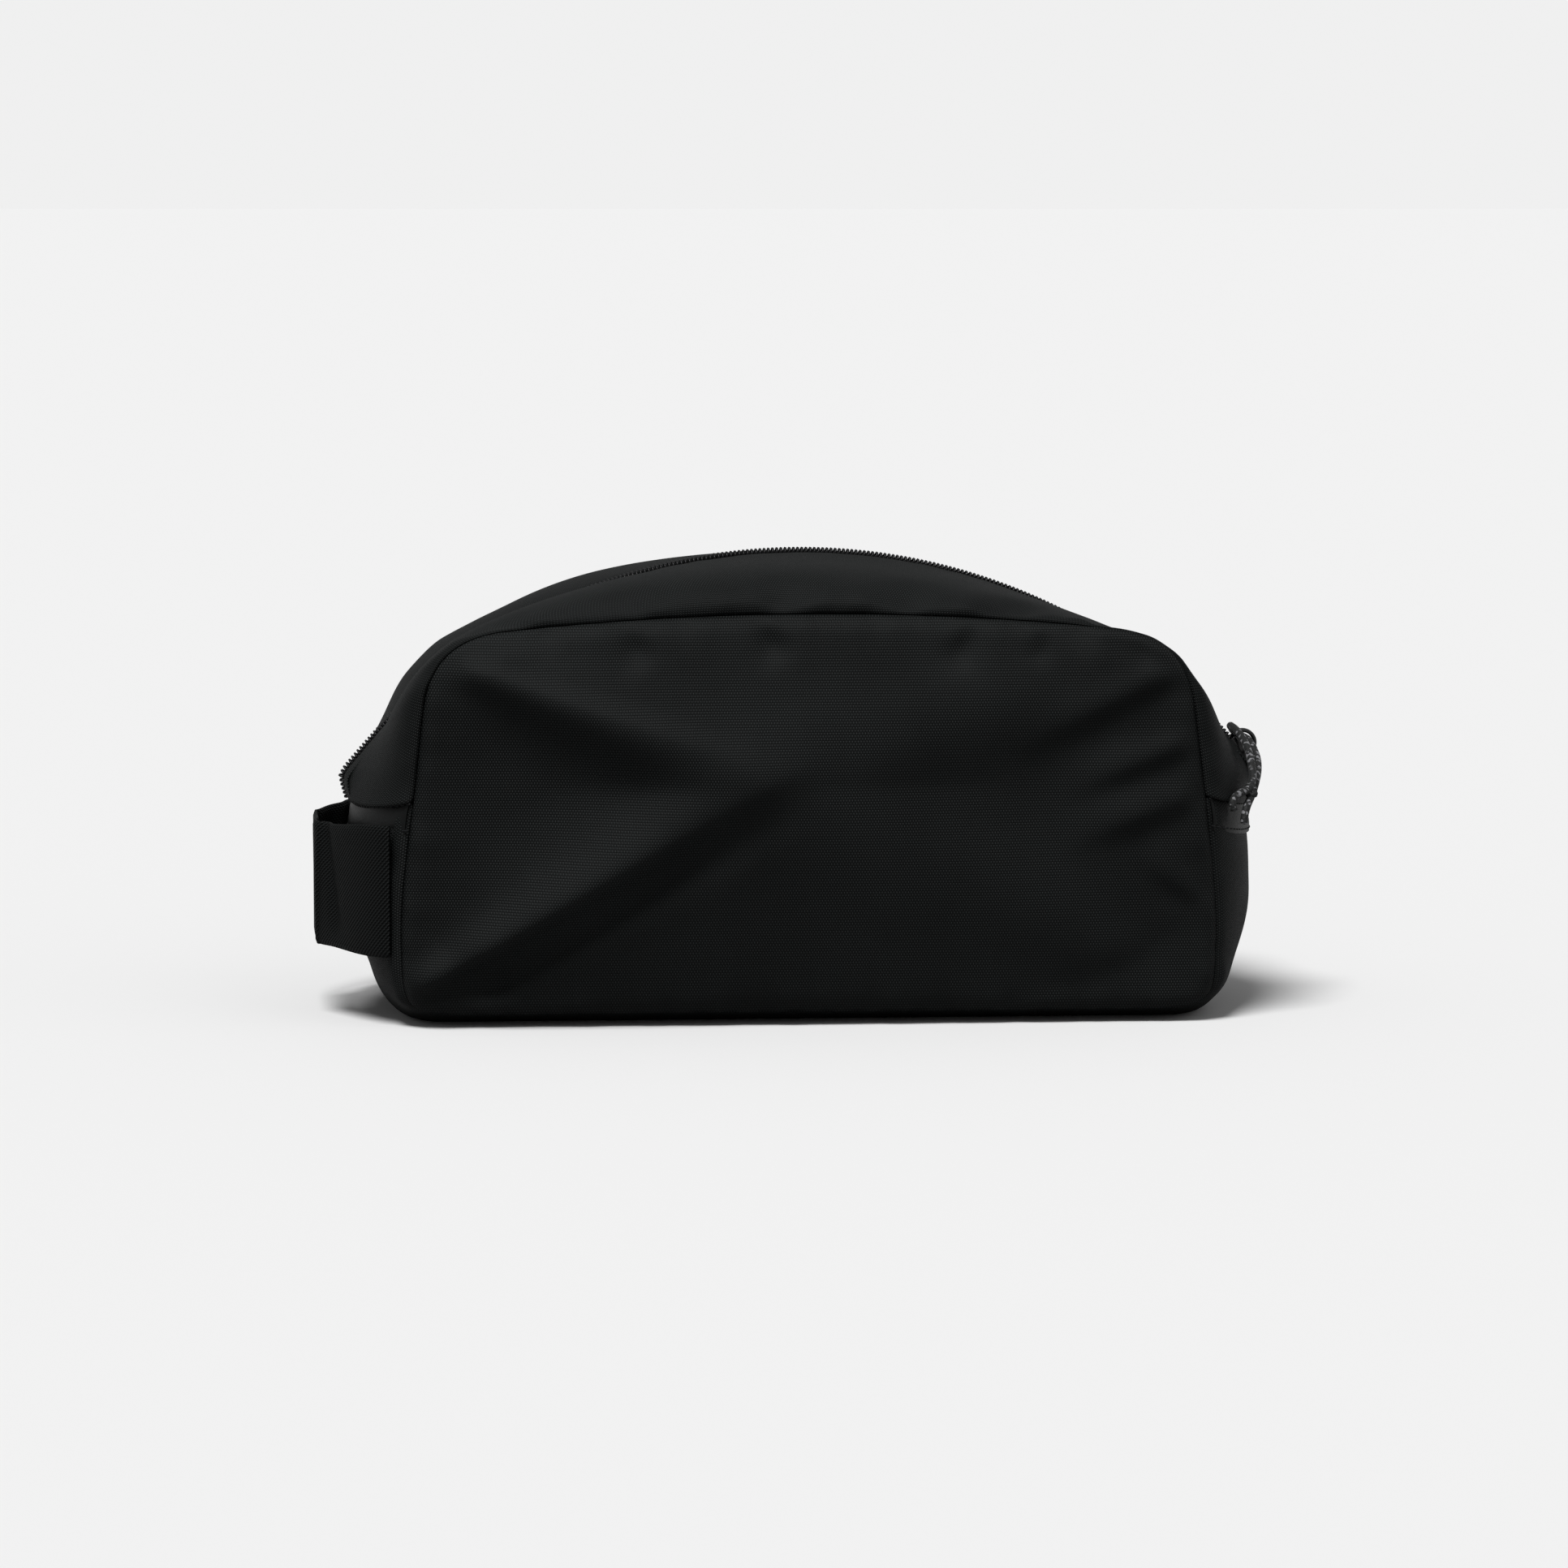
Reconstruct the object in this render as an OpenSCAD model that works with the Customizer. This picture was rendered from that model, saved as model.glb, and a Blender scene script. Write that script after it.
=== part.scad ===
// Soft wash bag: two puffed panels joined by a gusset, a zip along the crown,
// a webbing carry loop across one end and a cord pull on the zip slider.
// X runs along the bag, -Y is its front, Z is up, and the origin is the middle of its base.

/* [Bag] */
// Length across the fullest part of the two ends
bag_length = 272; // [225:1:330]
// Height of the crown above the base
bag_height = 136; // [112:1:165]
// Depth between the seams of the front and back panels
seam_depth = 100; // [80:1:122]
// How far each end of the base stops short of the fullest part
base_tuck = 9; // [6:0.5:14]
// How far each shoulder stops short of the fullest part
shoulder_tuck = 17; // [12:1:24]
// Drop from the crown to the shoulder
shoulder_drop = 24; // [18:1:30]

/* [Panels] */
// How far each panel's lower corners stop short of the fullest part
panel_base_tuck = 13; // [9:0.5:18]
// How far each panel's upper corners stop short of the fullest part
panel_top_tuck = 25; // [20:1:30]
// Drop from the crown to the top seam of a panel
panel_drop = 14; // [9:1:20]
// Drop of a panel's upper corners below the middle of its top seam
panel_arch = 7; // [4:1:12]
// Height of the bottom seam above the base
seam_lift = 4; // [2.5:0.5:6]
// Outward puff of a panel at its middle
panel_puff = 6; // [2:0.5:12]
// Thickness of a padded panel
panel_wall = 1.6; // [1:0.1:2.5]

/* [Gusset] */
// Thickness of the coated fabric of the gusset and top strips
cloth_wall = 1.4; // [0.8:0.1:2]
// Thickness of the lining
lining_wall = 0.8; // [0.4:0.1:1.2]
// Width of the folded tab across each end of the zip
tab_width = 9; // [6:0.5:14]
// Thickness of that tab
tab_wall = 1; // [0.6:0.1:1.6]
// Width of the tape that binds the seams inside
binding_width = 5; // [4:0.5:8]

/* [Zip] */
// Half of the gap between the folded edges of the two top strips
strip_gap = 6.2; // [5.6:0.1:8]
// Thickness of the tape
tape_wall = 0.7; // [0.5:0.05:0.9]
// Half width of the closed coil
coil_half = 3; // [2.6:0.1:3.2]
// Height of the coil above the tape
coil_height = 2.2; // [1.6:0.1:2.6]
// Gap from the middle of the zip to each tape and half coil
coil_gap = 0.7; // [0.6:0.05:1]

/* [Slider] */
// Length of the slider along the zip
slider_length = 12; // [10:0.5:14]
// Width of the slider across the zip
slider_width = 8.8; // [8:0.2:10.2]
// Thickness of the slider's two plates
plate_wall = 1; // [0.8:0.1:1.3]
// Radius of the opening under the slider's bridge
bridge_bore = 3; // [2.8:0.1:3.4]
// Width of the bridge across the zip
bridge_width = 3.2; // [2.4:0.2:4]
// Thickness of the bridge
bridge_wall = 1.3; // [1:0.1:1.6]

/* [Carry loop] */
// Width of the webbing
webbing_width = 39; // [32:1:46]
// Thickness of the webbing
webbing_wall = 1.8; // [1.2:0.1:2.4]
// Height of the webbing's lower edge above the base
webbing_height = 21; // [16:1:26]
// Clear space between the webbing and the end of the bag
loop_stand_off = 9; // [7:0.5:16]

/* [Pull] */
// Diameter of the pull cord
cord_d = 2.4; // [1.6:0.1:2.5]
// Diameter of the knot
knot_d = 5.2; // [4:0.2:6.5]

/* [Hidden] */

cloth_colour = [0.08, 0.08, 0.085];
lining_colour = [0.16, 0.16, 0.17];
webbing_colour = [0.05, 0.05, 0.055];
zip_colour = [0.06, 0.06, 0.065];
metal_colour = [0.03, 0.03, 0.035];
cord_colour = [0.1, 0.1, 0.11];

seam_gap = 0.3;          // between pieces that move apart
layer_gap = 0.2;         // between layers that are sewn together
half_length = bag_length / 2;
half_depth = seam_depth / 2;
steps = 6;               // points on each stretch of an outline
across = 8;              // points across the gusset
rings = 4;               // rings from a panel's seam to its middle

// Half outlines as control points, from the middle of the base up to the middle of the crown.
// An outline passes through the joins, one on each straight line between two control points.
base_sink = 3;           // the base curves below the floor by this much before it is flattened
side_z = 0.38 * bag_height;
side_bulge = 7;         // the ends' control points stand this far outside the fullest line
crown_flat = 0.43;      // share of the half length over which the crown runs level
seam_flat = 0.33;       // the same for a panel's top seam
panel_waist = 3.5;      // a panel's ends lean in by this much above their lower corners
panel_waist_z = 0.4 * bag_height;
middle_z = 0.46 * bag_height; // height of the fullest place of a panel
bag_ctrl = [[0, -base_sink], [half_length - base_tuck, -base_sink], [half_length + side_bulge, side_z],
    [half_length - shoulder_tuck, bag_height - shoulder_drop],
    [crown_flat * half_length, bag_height], [0, bag_height]];
bag_join = [0.86, 0.3, 0.65, 0.35, 1];
panel_top_z = bag_height - panel_drop;
panel_ctrl = [[0, seam_lift], [half_length - panel_base_tuck, seam_lift],
    [half_length - panel_base_tuck - panel_waist, panel_waist_z],
    [half_length - panel_top_tuck, panel_top_z - panel_arch],
    [seam_flat * half_length, panel_top_z], [0, panel_top_z]];
panel_join = [0.86, 0.25, 0.68, 0.32, 1];

// Places along an outline: whole numbers are its joins, 0 is the base and 5 the crown.
crown_at = 5;
end_seam_at = 2.65;      // where the top strips meet the lower gusset
slider_at = 2.805;       // where the closed slider stands

function mix(a, b, t) = a + (b - a) * t;
function curve2(a, b, c, t) = mix(mix(a, b, t), mix(b, c, t), t);
function curve3(a, b, c, d, t) = mix(curve2(a, b, c, t), curve2(b, c, d, t), t);
function unit(v) = v / norm(v);

// Point of a half outline at the place u; a negative u is the left half.
function join_of(ctrl, join, i) = i < 0 ? ctrl[0] : mix(ctrl[i], ctrl[i + 1], join[i]);
function half_point(ctrl, join, u) =
    let (i = min(floor(u), 4), t = u - i)
    i == 0 ? mix(ctrl[0], join_of(ctrl, join, 0), t)
        : curve2(join_of(ctrl, join, i - 1), ctrl[i], join_of(ctrl, join, i), t);
function outline(ctrl, join, u) =
    let (p = half_point(ctrl, join, abs(u)))
    [u < 0 ? -p[0] : p[0], p[1]];
function bag_at(u) = outline(bag_ctrl, bag_join, u);
function panel_at(u) = outline(panel_ctrl, panel_join, u);

// The zip runs on one true arc, so that the slider turns about its centre.
track_stand_off = 0.8;   // of the zip from the fullest line of the bag, at the closed slider
slider_seat = bag_at(slider_at) + [track_stand_off, 0];
arc_rise = bag_height - slider_seat[1];
arc_r = (pow(slider_seat[0], 2) + pow(arc_rise, 2)) / (2 * arc_rise);
arc_z = bag_height - arc_r;
core_z = 50;             // rays from here pair the zip with the outline beside it
proud_most = 4;          // the zip may stand this far outside the outline near its ends
proud_at_tab = 0.5;      // and this far where it goes under a tab
fade = 0.08;             // places over which it settles to that
rise_places = 0.6;       // places over which the strips swell to their full puff
fold_gap = 0.15;         // between a strip's folded edge and the tape below it
lining_gap = 0.6;        // between the gusset and its lining
coil_seat = 0.15;        // between the tape and the coil sewn to it
hem = 0.03;              // share of a strip between its lining and the tape
binding_inset = 4;       // of the bindings from the seams they cover
binding_back = 1.2;      // of the bindings behind the panels' seams
function track_at(u) =
    let (s = bag_at(u), ray = unit(s - [0, core_z]), up = (core_z - arc_z) * ray[1],
        to_arc = -up + sqrt(pow(up, 2) - pow(core_z - arc_z, 2) + pow(arc_r, 2)),
        settle = min(1, (abs(u) - end_seam_at) / fade),
        to_edge = norm(s - [0, core_z]) + mix(proud_at_tab, proud_most, settle))
    [0, core_z] + ray * min(to_arc, to_edge);

nudge = 0.01;
function track_out(u) =
    let (d = unit(track_at(u + nudge) - track_at(u - nudge)), n = [-d[1], d[0]],
        z = track_at(u) - [0, core_z])
    n * z < 0 ? -n : n;

// Surfaces: each is a function of u along an outline and v across the gusset.
function lift(p, y) = [p[0], y, p[1]];
function on_floor(p) = [p[0], p[1], max(0, p[2])];
gusset_skin = function(u, v)
    let (p = panel_at(u), s = bag_at(u), puff = s + (s - p) / 3, in = 0.62 * half_depth)
    on_floor(curve3(lift(p, -half_depth), lift(puff, -in), lift(puff, in),
        lift(p, half_depth), v));
strip_skin = function(u, v)
    let (p = panel_at(u), s = bag_at(u), along = min(1, (abs(u) - end_seam_at) / rise_places),
        by_seam = mix(p, s, mix(0.62, 1.17, along)), by_zip = mix(p, s, mix(1, 1.17, along)),
        edge = track_at(u) + track_out(u) * (cloth_wall + fold_gap))
    curve3(lift(p, -half_depth), lift(by_seam, -0.96 * half_depth),
        lift(by_zip, -0.42 * half_depth), lift(edge, -strip_gap), v);
strip_across = 7;        // points across a top strip
tape_hold = 5 / strip_across;
lining_start = 0.12;
tab_probe = 0.1;         // places below the end seam over which the tab's length is measured
tape_skin = function(u, v)
    let (w = mix(tape_hold, 1, min(1, 2 * v)),
        under = strip_skin(u, w) - facing(strip_skin, u, w) * (cloth_wall + fold_gap))
    mix(under, lift(track_at(u), -coil_gap), max(0, 2 * v - 1));
coil_skin = function(u, v)
    lift(track_at(u) + track_out(u) * (coil_height + coil_seat), mix(-coil_half, -coil_gap, v));
binding_skin = function(u, v)
    let (p = panel_at(u), start = -half_depth + binding_back)
    lift(p + unit([0, core_z] - p) * binding_inset, mix(start, start + binding_width, v));

// Unit normal of a surface, pointing out of the bag.
function facing(f, u, v) =
    let (a = f(u - nudge, v), b = f(u + nudge, v),
        c = f(u, max(0, v - nudge)), d = f(u, min(1, v + nudge)), n = unit(cross(b - a, d - c)))
    n * (n * (f(u, v) - [0, 0, core_z]) < 0 ? -1 : 1);

// Places from the left end seam over the crown to the right one. u is cut at the crown and at
// the base, where the halves of an outline meet.
function stretch(from, to, n) = [for (i = [0:n]) mix(from, to, i / n)];
function crown_place(i, n) = mix(end_seam_at + 0.01, crown_at, pow(i / n, 1.4));
function over_crown(n) = concat([for (i = [0:n]) crown_place(i, n)],
    [for (i = [n - 1:-1:0]) -crown_place(i, n)]);
function round_base(n) = stretch(-end_seam_at, end_seam_at, 2 * n);
function full_turn(n) = concat(stretch(0, crown_at, n), [for (i = [n - 1:-1:1]) -i * crown_at / n]);

// A closed shell between two depths under the surface f, over the places us and vs.
module shell(f, us, vs, top, under, ring = false) {
    rows = len(us);
    cols = len(vs);
    count = rows * cols;
    points = [for (depth = [top, under]) for (u = us) for (v = vs)
        f(u, v) - facing(f, u, v) * depth];
    last = ring ? rows - 1 : rows - 2;
    function at(layer, i, j) = layer * count + (i % rows) * cols + j;
    sheets = [for (layer = [0, 1]) for (i = [0:last]) for (j = [0:cols - 2])
        for (half = [0, 1]) let (tri = half == 0
            ? [at(layer, i, j), at(layer, i + 1, j), at(layer, i + 1, j + 1)]
            : [at(layer, i, j), at(layer, i + 1, j + 1), at(layer, i, j + 1)])
        layer == 0 ? tri : [tri[2], tri[1], tri[0]]];
    sides = [for (i = [0:last]) for (j = [0, cols - 1]) for (half = [0, 1])
        let (a = at(0, i, j), b = at(0, i + 1, j), c = at(1, i + 1, j), d = at(1, i, j),
            tri = half == 0 ? [a, c, b] : [a, d, c])
        j == 0 ? tri : [tri[2], tri[1], tri[0]]];
    ends = ring ? [] : [for (i = [0, rows - 1]) for (j = [0:cols - 2]) for (half = [0, 1])
        let (a = at(0, i, j), b = at(0, i, j + 1), c = at(1, i, j + 1), d = at(1, i, j),
            tri = half == 0 ? [a, b, c] : [a, c, d])
        i == 0 ? tri : [tri[2], tri[1], tri[0]]];
    polyhedron(points, concat(sheets, sides, ends), convexity = 6);
}

// A dished front panel: rings of points from its seam to its middle, on two faces.
function panel_point(u, q, inset, y) =
    let (mid = [0, middle_z], p = panel_at(u), edge = p + unit(mid - p) * inset,
        puff = panel_puff * (1 - q * q))
    lift(mix(mid, edge, q), y - puff);
module dished(inset, y, wall) {
    us = full_turn(3 * steps);
    n = len(us);
    qs = [for (k = [0:rings - 1]) 1 - k / rings];
    count = rings * n + 1;
    points = [for (face = [y - wall, y]) each concat(
        [for (q = qs) for (u = us) panel_point(u, q, inset, face)],
        [panel_point(0, 0, inset, face)])];
    function at(layer, k, i) = layer * count + k * n + i % n;
    function tube(layer) = [for (k = [0:rings - 2]) for (i = [0:n - 1]) for (half = [0, 1])
        half == 0 ? [at(layer, k, i), at(layer, k, i + 1), at(layer, k + 1, i + 1)]
            : [at(layer, k, i), at(layer, k + 1, i + 1), at(layer, k + 1, i)]];
    function fan(layer) = [for (i = [0:n - 1])
        [at(layer, rings - 1, i), at(layer, rings - 1, i + 1), layer * count + rings * n]];
    function flip(faces) = [for (t = faces) [t[2], t[1], t[0]]];
    rim = [for (i = [0:n - 1]) for (half = [0, 1])
        half == 0 ? [at(0, 0, i), at(1, 0, i), at(1, 0, i + 1)]
            : [at(0, 0, i), at(1, 0, i + 1), at(0, 0, i + 1)]];
    polyhedron(points, concat(flip(concat(tube(0), fan(0))), tube(1), fan(1), flip(rim)),
        convexity = 6);
}

module back_of() {
    mirror([0, 1, 0]) children();
}

// The lower gusset is one strip: up the left end, under the base and up the right end.
module lower_gusset() {
    color(cloth_colour)
        shell(gusset_skin, round_base(3 * steps), stretch(0, 1, across), 0, cloth_wall);
}

module gusset_lining() {
    depth = cloth_wall + lining_gap;
    color(lining_colour)
        shell(gusset_skin, round_base(2 * steps), stretch(0.04, 0.96, across - 2), depth,
            depth + lining_wall);
}

// Each tab lies on the outside of the lower gusset, just under the end seam.
module end_tab(side) {
    a_place = norm(bag_at(end_seam_at) - bag_at(end_seam_at - tab_probe)) / tab_probe;
    tab_places = tab_width / a_place;
    color(cloth_colour)
        shell(gusset_skin,
            stretch(side * (end_seam_at - tab_places), side * (end_seam_at - 0.005), 2),
            stretch(0.02, 0.98, across), -layer_gap - tab_wall, -layer_gap);
}

module left_end_tab() {
    end_tab(-1);
}

module right_end_tab() {
    end_tab(1);
}

// The webbing runs from the front seam round the left end to the back seam.
loop_drop = 3.5;         // at least this much from the loop's upper edge up to the end seam
loop_z = min(webbing_height, bag_at(end_seam_at)[1] - webbing_width - loop_drop);
loop_x = half_length + loop_stand_off + webbing_wall;
loop_start = half_length - panel_base_tuck + 1.3; // just outside the side of the panel
loop_tuck = 0.2;         // of the loop's ends behind the panels' seams
loop_bends = [[loop_start, -half_depth + loop_tuck],
    [loop_start + 4.4, -half_depth + loop_tuck + 0.3],
    [loop_x - 5, -0.62 * half_depth], [loop_x, -0.26 * half_depth]];
function loop_line(t) = curve3(loop_bends[0], loop_bends[1], loop_bends[2], loop_bends[3], t);
module carry_handle() {
    front = [for (t = stretch(0, 1, 2 * steps)) loop_line(t)];
    inner = [for (i = [0:len(front) - 1])
        let (a = front[max(0, i - 1)], b = front[min(len(front) - 1, i + 1)], d = unit(b - a))
        front[i] - [d[1], -d[0]] * webbing_wall];
    function whole(line) = concat(line, [for (i = [len(line) - 1:-1:0]) [line[i][0], -line[i][1]]]);
    outside = whole(front);
    inside = whole(inner);
    color(webbing_colour) translate([0, 0, loop_z]) mirror([1, 0, 0])
        linear_extrude(webbing_width)
        polygon(concat(outside, [for (i = [len(inside) - 1:-1:0]) inside[i]]));
}

module front_panel() {
    color(cloth_colour) dished(0, -half_depth - seam_gap, panel_wall);
}

module front_lining() {
    inset = cloth_wall + layer_gap + lining_wall + lining_gap;
    color(lining_colour)
        dished(inset, -half_depth - seam_gap + layer_gap + lining_wall, lining_wall);
}

module front_top_strip() {
    color(cloth_colour)
        shell(strip_skin, over_crown(4 * steps), stretch(0, 1, strip_across), 0, cloth_wall);
}

module front_strip_lining() {
    depth = cloth_wall + lining_gap;
    color(lining_colour)
        shell(strip_skin, over_crown(2 * steps), stretch(lining_start, tape_hold - hem, 4), depth,
            depth + lining_wall);
}

module front_seam_binding() {
    color(lining_colour)
        shell(binding_skin, full_turn(3 * steps), [0, 1], 0, lining_wall, true);
}

module front_zip_tape() {
    color(zip_colour)
        shell(tape_skin, over_crown(4 * steps), [0, 0.25, 0.5, 1], 0, tape_wall);
}

module front_zip_coil() {
    color(zip_colour) shell(coil_skin, over_crown(4 * steps), [0, 1], 0, coil_height);
}

module back_panel() {
    back_of() front_panel();
}

module back_lining() {
    back_of() front_lining();
}

module back_top_strip() {
    back_of() front_top_strip();
}

module back_strip_lining() {
    back_of() front_strip_lining();
}

module back_seam_binding() {
    back_of() front_seam_binding();
}

module back_zip_tape() {
    back_of() front_zip_tape();
}

module back_zip_coil() {
    back_of() front_zip_coil();
}

// Slider, drawn with X along the zip towards the right end and Z out of the bag.
slider_slope = acos((slider_seat[1] - arc_z) / arc_r);
plate_clear = 0.5;
top_plate_z = coil_height + plate_clear;
bridge_z = top_plate_z + plate_wall;
bridge_x = -0.5;
mouth_shift = 0.12;      // share of its length by which a plate's narrow end is drawn out
flange_wall = 0.8;
flange_share = 0.72;     // of the slider's length
plate_step = 1;          // the lower plate is smaller than the upper one by this much
post_length = 2;
post_back = 3.4;         // of the post's far side from the slider's closed end
post_clear = 0.25;       // between the post and each half of the zip
sink = 0.2;              // of one piece of the slider into the next
module at_slider() {
    translate([slider_seat[0], 0, slider_seat[1]]) rotate([0, slider_slope, 0]) children();
}

// Plan of a plate: rounded at the closed end and narrower at the open end.
module plate(length, width, wall) {
    linear_extrude(wall) intersection() {
        translate([-length / 2, -width / 2]) square([length, width]);
        translate([-length / 2, 0]) circle(d = 2 * length, $fn = 64);
        translate([mouth_shift * length, 0]) circle(d = (1 + 2 * mouth_shift) * length, $fn = 64);
    }
}

module slider_body() {
    post = 2 * (coil_gap - post_clear);
    under_z = -tape_wall - plate_clear;
    color(metal_colour) at_slider() {
        translate([0, 0, top_plate_z]) plate(slider_length, slider_width, plate_wall);
        translate([0, 0, under_z - plate_wall])
            plate(slider_length - plate_step, slider_width - plate_step, plate_wall);
        for (side = [-1, 1])
            translate([-slider_length * flange_share / 2,
                side * (slider_width - flange_wall) / 2 - flange_wall / 2, plate_clear])
                cube([slider_length * flange_share, flange_wall, top_plate_z - plate_clear + sink]);
        translate([slider_length / 2 - post_back, -post / 2, under_z - sink])
            cube([post_length, post, top_plate_z - under_z + 2 * sink]);
    }
}

module slider_bridge() {
    color(metal_colour) at_slider() translate([bridge_x, 0, bridge_z]) intersection() {
        rotate([90, 0, 0]) difference() {
            cylinder(r = bridge_bore + bridge_wall, h = bridge_width, center = true, $fn = 64);
            cylinder(r = bridge_bore, h = 2 * bridge_width, center = true, $fn = 64);
        }
        translate([-slider_length, -bridge_width, 0])
            cube([2 * slider_length, 2 * bridge_width, slider_length]);
    }
}

// Pull cord: one line from tail to tail, through the knot, under the bridge and back.
knot_at = [133.2, -35.4, 67];
cord_route = [[126.8, -45.6, 62.4], [126.4, -44.6, 65], [128.6, -41.6, 66.8], [131.6, -37.6, 67.6],
    [133.2, -34.8, 68.4], [134.4, -31, 70.6], [134.8, -26, 74], [134.6, -20, 78],
    [133.6, -13, 81.6], [131.8, -6, 84], [131, 0, 84.8], [131.6, 4.6, 84.4], [133.6, 7.4, 82.4],
    [136, 6.8, 80], [136.8, 3, 79.4], [136.8, 0, 79.4], [136.8, -3, 79.4], [137.6, -8, 77.6],
    [138.2, -13, 74.6], [137.6, -19, 71.8], [136, -26, 69], [134, -33, 66.2], [132.8, -36.8, 65],
    [131.4, -40.2, 63.2], [130.4, -42.4, 60.8], [130, -43.4, 58.4]];
module tube(route, d, sides) {
    n = len(route);
    function way(i) = unit(route[min(n - 1, i + 1)] - route[max(0, i - 1)]);
    points = [for (i = [0:n - 1])
        let (t = way(i), a = unit(cross(t, [0.3, 0.2, 1])), b = cross(t, a))
        for (k = [0:sides - 1])
            route[i] + (a * cos(360 * k / sides) + b * sin(360 * k / sides)) * d / 2];
    wall = [for (i = [0:n - 2]) for (k = [0:sides - 1]) for (half = [0, 1])
        let (p = i * sides + k, q = i * sides + (k + 1) % sides)
        half == 0 ? [p, p + sides, q + sides] : [p, q + sides, q]];
    caps = [[for (k = [0:sides - 1]) k], [for (k = [sides - 1:-1:0]) (n - 1) * sides + k]];
    polyhedron(points, concat(wall, caps), convexity = 8);
}

module pull_cord() {
    color(cord_colour) tube(cord_route, cord_d, 8);
}

module pull_knot() {
    color(cord_colour) translate(knot_at) sphere(d = knot_d, $fn = 48);
}

lower_gusset();
gusset_lining();
left_end_tab();
right_end_tab();
carry_handle();
front_panel();
front_lining();
front_top_strip();
front_strip_lining();
front_seam_binding();
front_zip_tape();
front_zip_coil();
back_panel();
back_lining();
back_top_strip();
back_strip_lining();
back_seam_binding();
back_zip_tape();
back_zip_coil();
slider_body();
slider_bridge();
pull_cord();
pull_knot();
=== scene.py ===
import math
import bpy
import bmesh
import numpy as np
from mathutils import Vector, Matrix


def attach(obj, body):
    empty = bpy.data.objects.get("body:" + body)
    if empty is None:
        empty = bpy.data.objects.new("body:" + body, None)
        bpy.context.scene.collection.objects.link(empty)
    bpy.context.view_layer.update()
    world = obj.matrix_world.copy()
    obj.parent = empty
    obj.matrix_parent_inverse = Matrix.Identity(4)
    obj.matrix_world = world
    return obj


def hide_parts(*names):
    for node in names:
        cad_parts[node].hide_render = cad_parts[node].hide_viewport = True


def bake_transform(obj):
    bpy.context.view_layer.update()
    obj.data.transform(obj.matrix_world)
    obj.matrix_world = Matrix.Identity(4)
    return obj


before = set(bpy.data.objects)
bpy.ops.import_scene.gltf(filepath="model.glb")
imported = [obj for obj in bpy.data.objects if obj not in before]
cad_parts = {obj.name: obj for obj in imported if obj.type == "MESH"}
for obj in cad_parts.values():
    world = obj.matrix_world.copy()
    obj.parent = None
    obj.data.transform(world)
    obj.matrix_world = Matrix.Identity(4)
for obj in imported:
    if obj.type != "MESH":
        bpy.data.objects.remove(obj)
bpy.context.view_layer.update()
mm = 0.001
scene = bpy.context.scene

# camera first, then the pull cord

viewSetup = {"aim": (-4.3, 0, 66.5), "yaw": 4.0, "pitch": 6.0, "distance": 1900, "across": 475.3, "sensor": 36}


def makeCamera(setup):
    yaw, pitch = math.radians(setup["yaw"]), math.radians(setup["pitch"])
    ahead = Vector((math.sin(yaw) * math.cos(pitch), math.cos(yaw) * math.cos(pitch), -math.sin(pitch)))
    data = bpy.data.cameras.new("camera")
    data.sensor_width = setup["sensor"]
    data.lens = setup["sensor"] * setup["distance"] / setup["across"]
    data.clip_end = 20
    camera = bpy.data.objects.new("camera", data)
    scene.collection.objects.link(camera)
    camera.location = (Vector(setup["aim"]) - ahead * setup["distance"]) * mm
    camera.rotation_euler = ahead.to_track_quat("-Z", "Y").to_euler()
    scene.camera = camera


makeCamera(viewSetup)


# small geometry helpers

def mix(a, b, t):
    return a + (b - a) * t


def smooth(t):
    t = np.clip(t, 0, 1)
    return t * t * (3 - 2 * t)


def unitRows(v):
    return v / np.maximum(np.linalg.norm(v, axis=-1, keepdims=True), 1e-12)


def runAlong(line):
    # the length of a line up to each of its points
    return np.concatenate([[0], np.cumsum(np.linalg.norm(np.diff(line, axis=0), axis=1))])


def roundedEdge(edge, radius):
    # a quarter circle's rise, from 0 at the edge to 1 a radius in
    return np.sqrt(np.clip(1 - (1 - np.clip(edge / radius, 0, 1)) ** 2, 0, 1))


def splineThrough(points, spacing):
    # a Catmull-Rom line through the points, resampled to an even spacing
    p = np.array(points, float)
    p = np.vstack([2 * p[0] - p[1], p, 2 * p[-1] - p[-2]])
    t = np.linspace(0, 1, 24, endpoint=False)[:, None]
    rows = []
    for i in range(1, len(p) - 2):
        a, b, c, d = p[i - 1], p[i], p[i + 1], p[i + 2]
        rows.append(0.5 * (2 * b + (c - a) * t + (2 * a - 5 * b + 4 * c - d) * t ** 2
                           + (3 * b - a - 3 * c + d) * t ** 3))
    line = np.vstack(rows + [p[-2:-1]])
    run = runAlong(line)
    count = max(2, int(round(run[-1] / spacing)))
    at = np.linspace(0, run[-1], count + 1)
    return np.stack([np.interp(at, run, line[:, k]) for k in range(3)], axis=1), run[-1]


# each place is where the settling starts or is strongest, and how far it spreads
slumpSetup = {"rightDrop": 8.0, "leftDrop": 5.5, "shoulder": (103, 27), "above": (62, 45), "back": 50,
              "leftIn": 1.2, "leftEnd": (110, 16), "leftHeight": (75, 17),
              "footIn": 2.2, "footEnd": (114, 12), "footHeight": (14, 13)}


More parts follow.
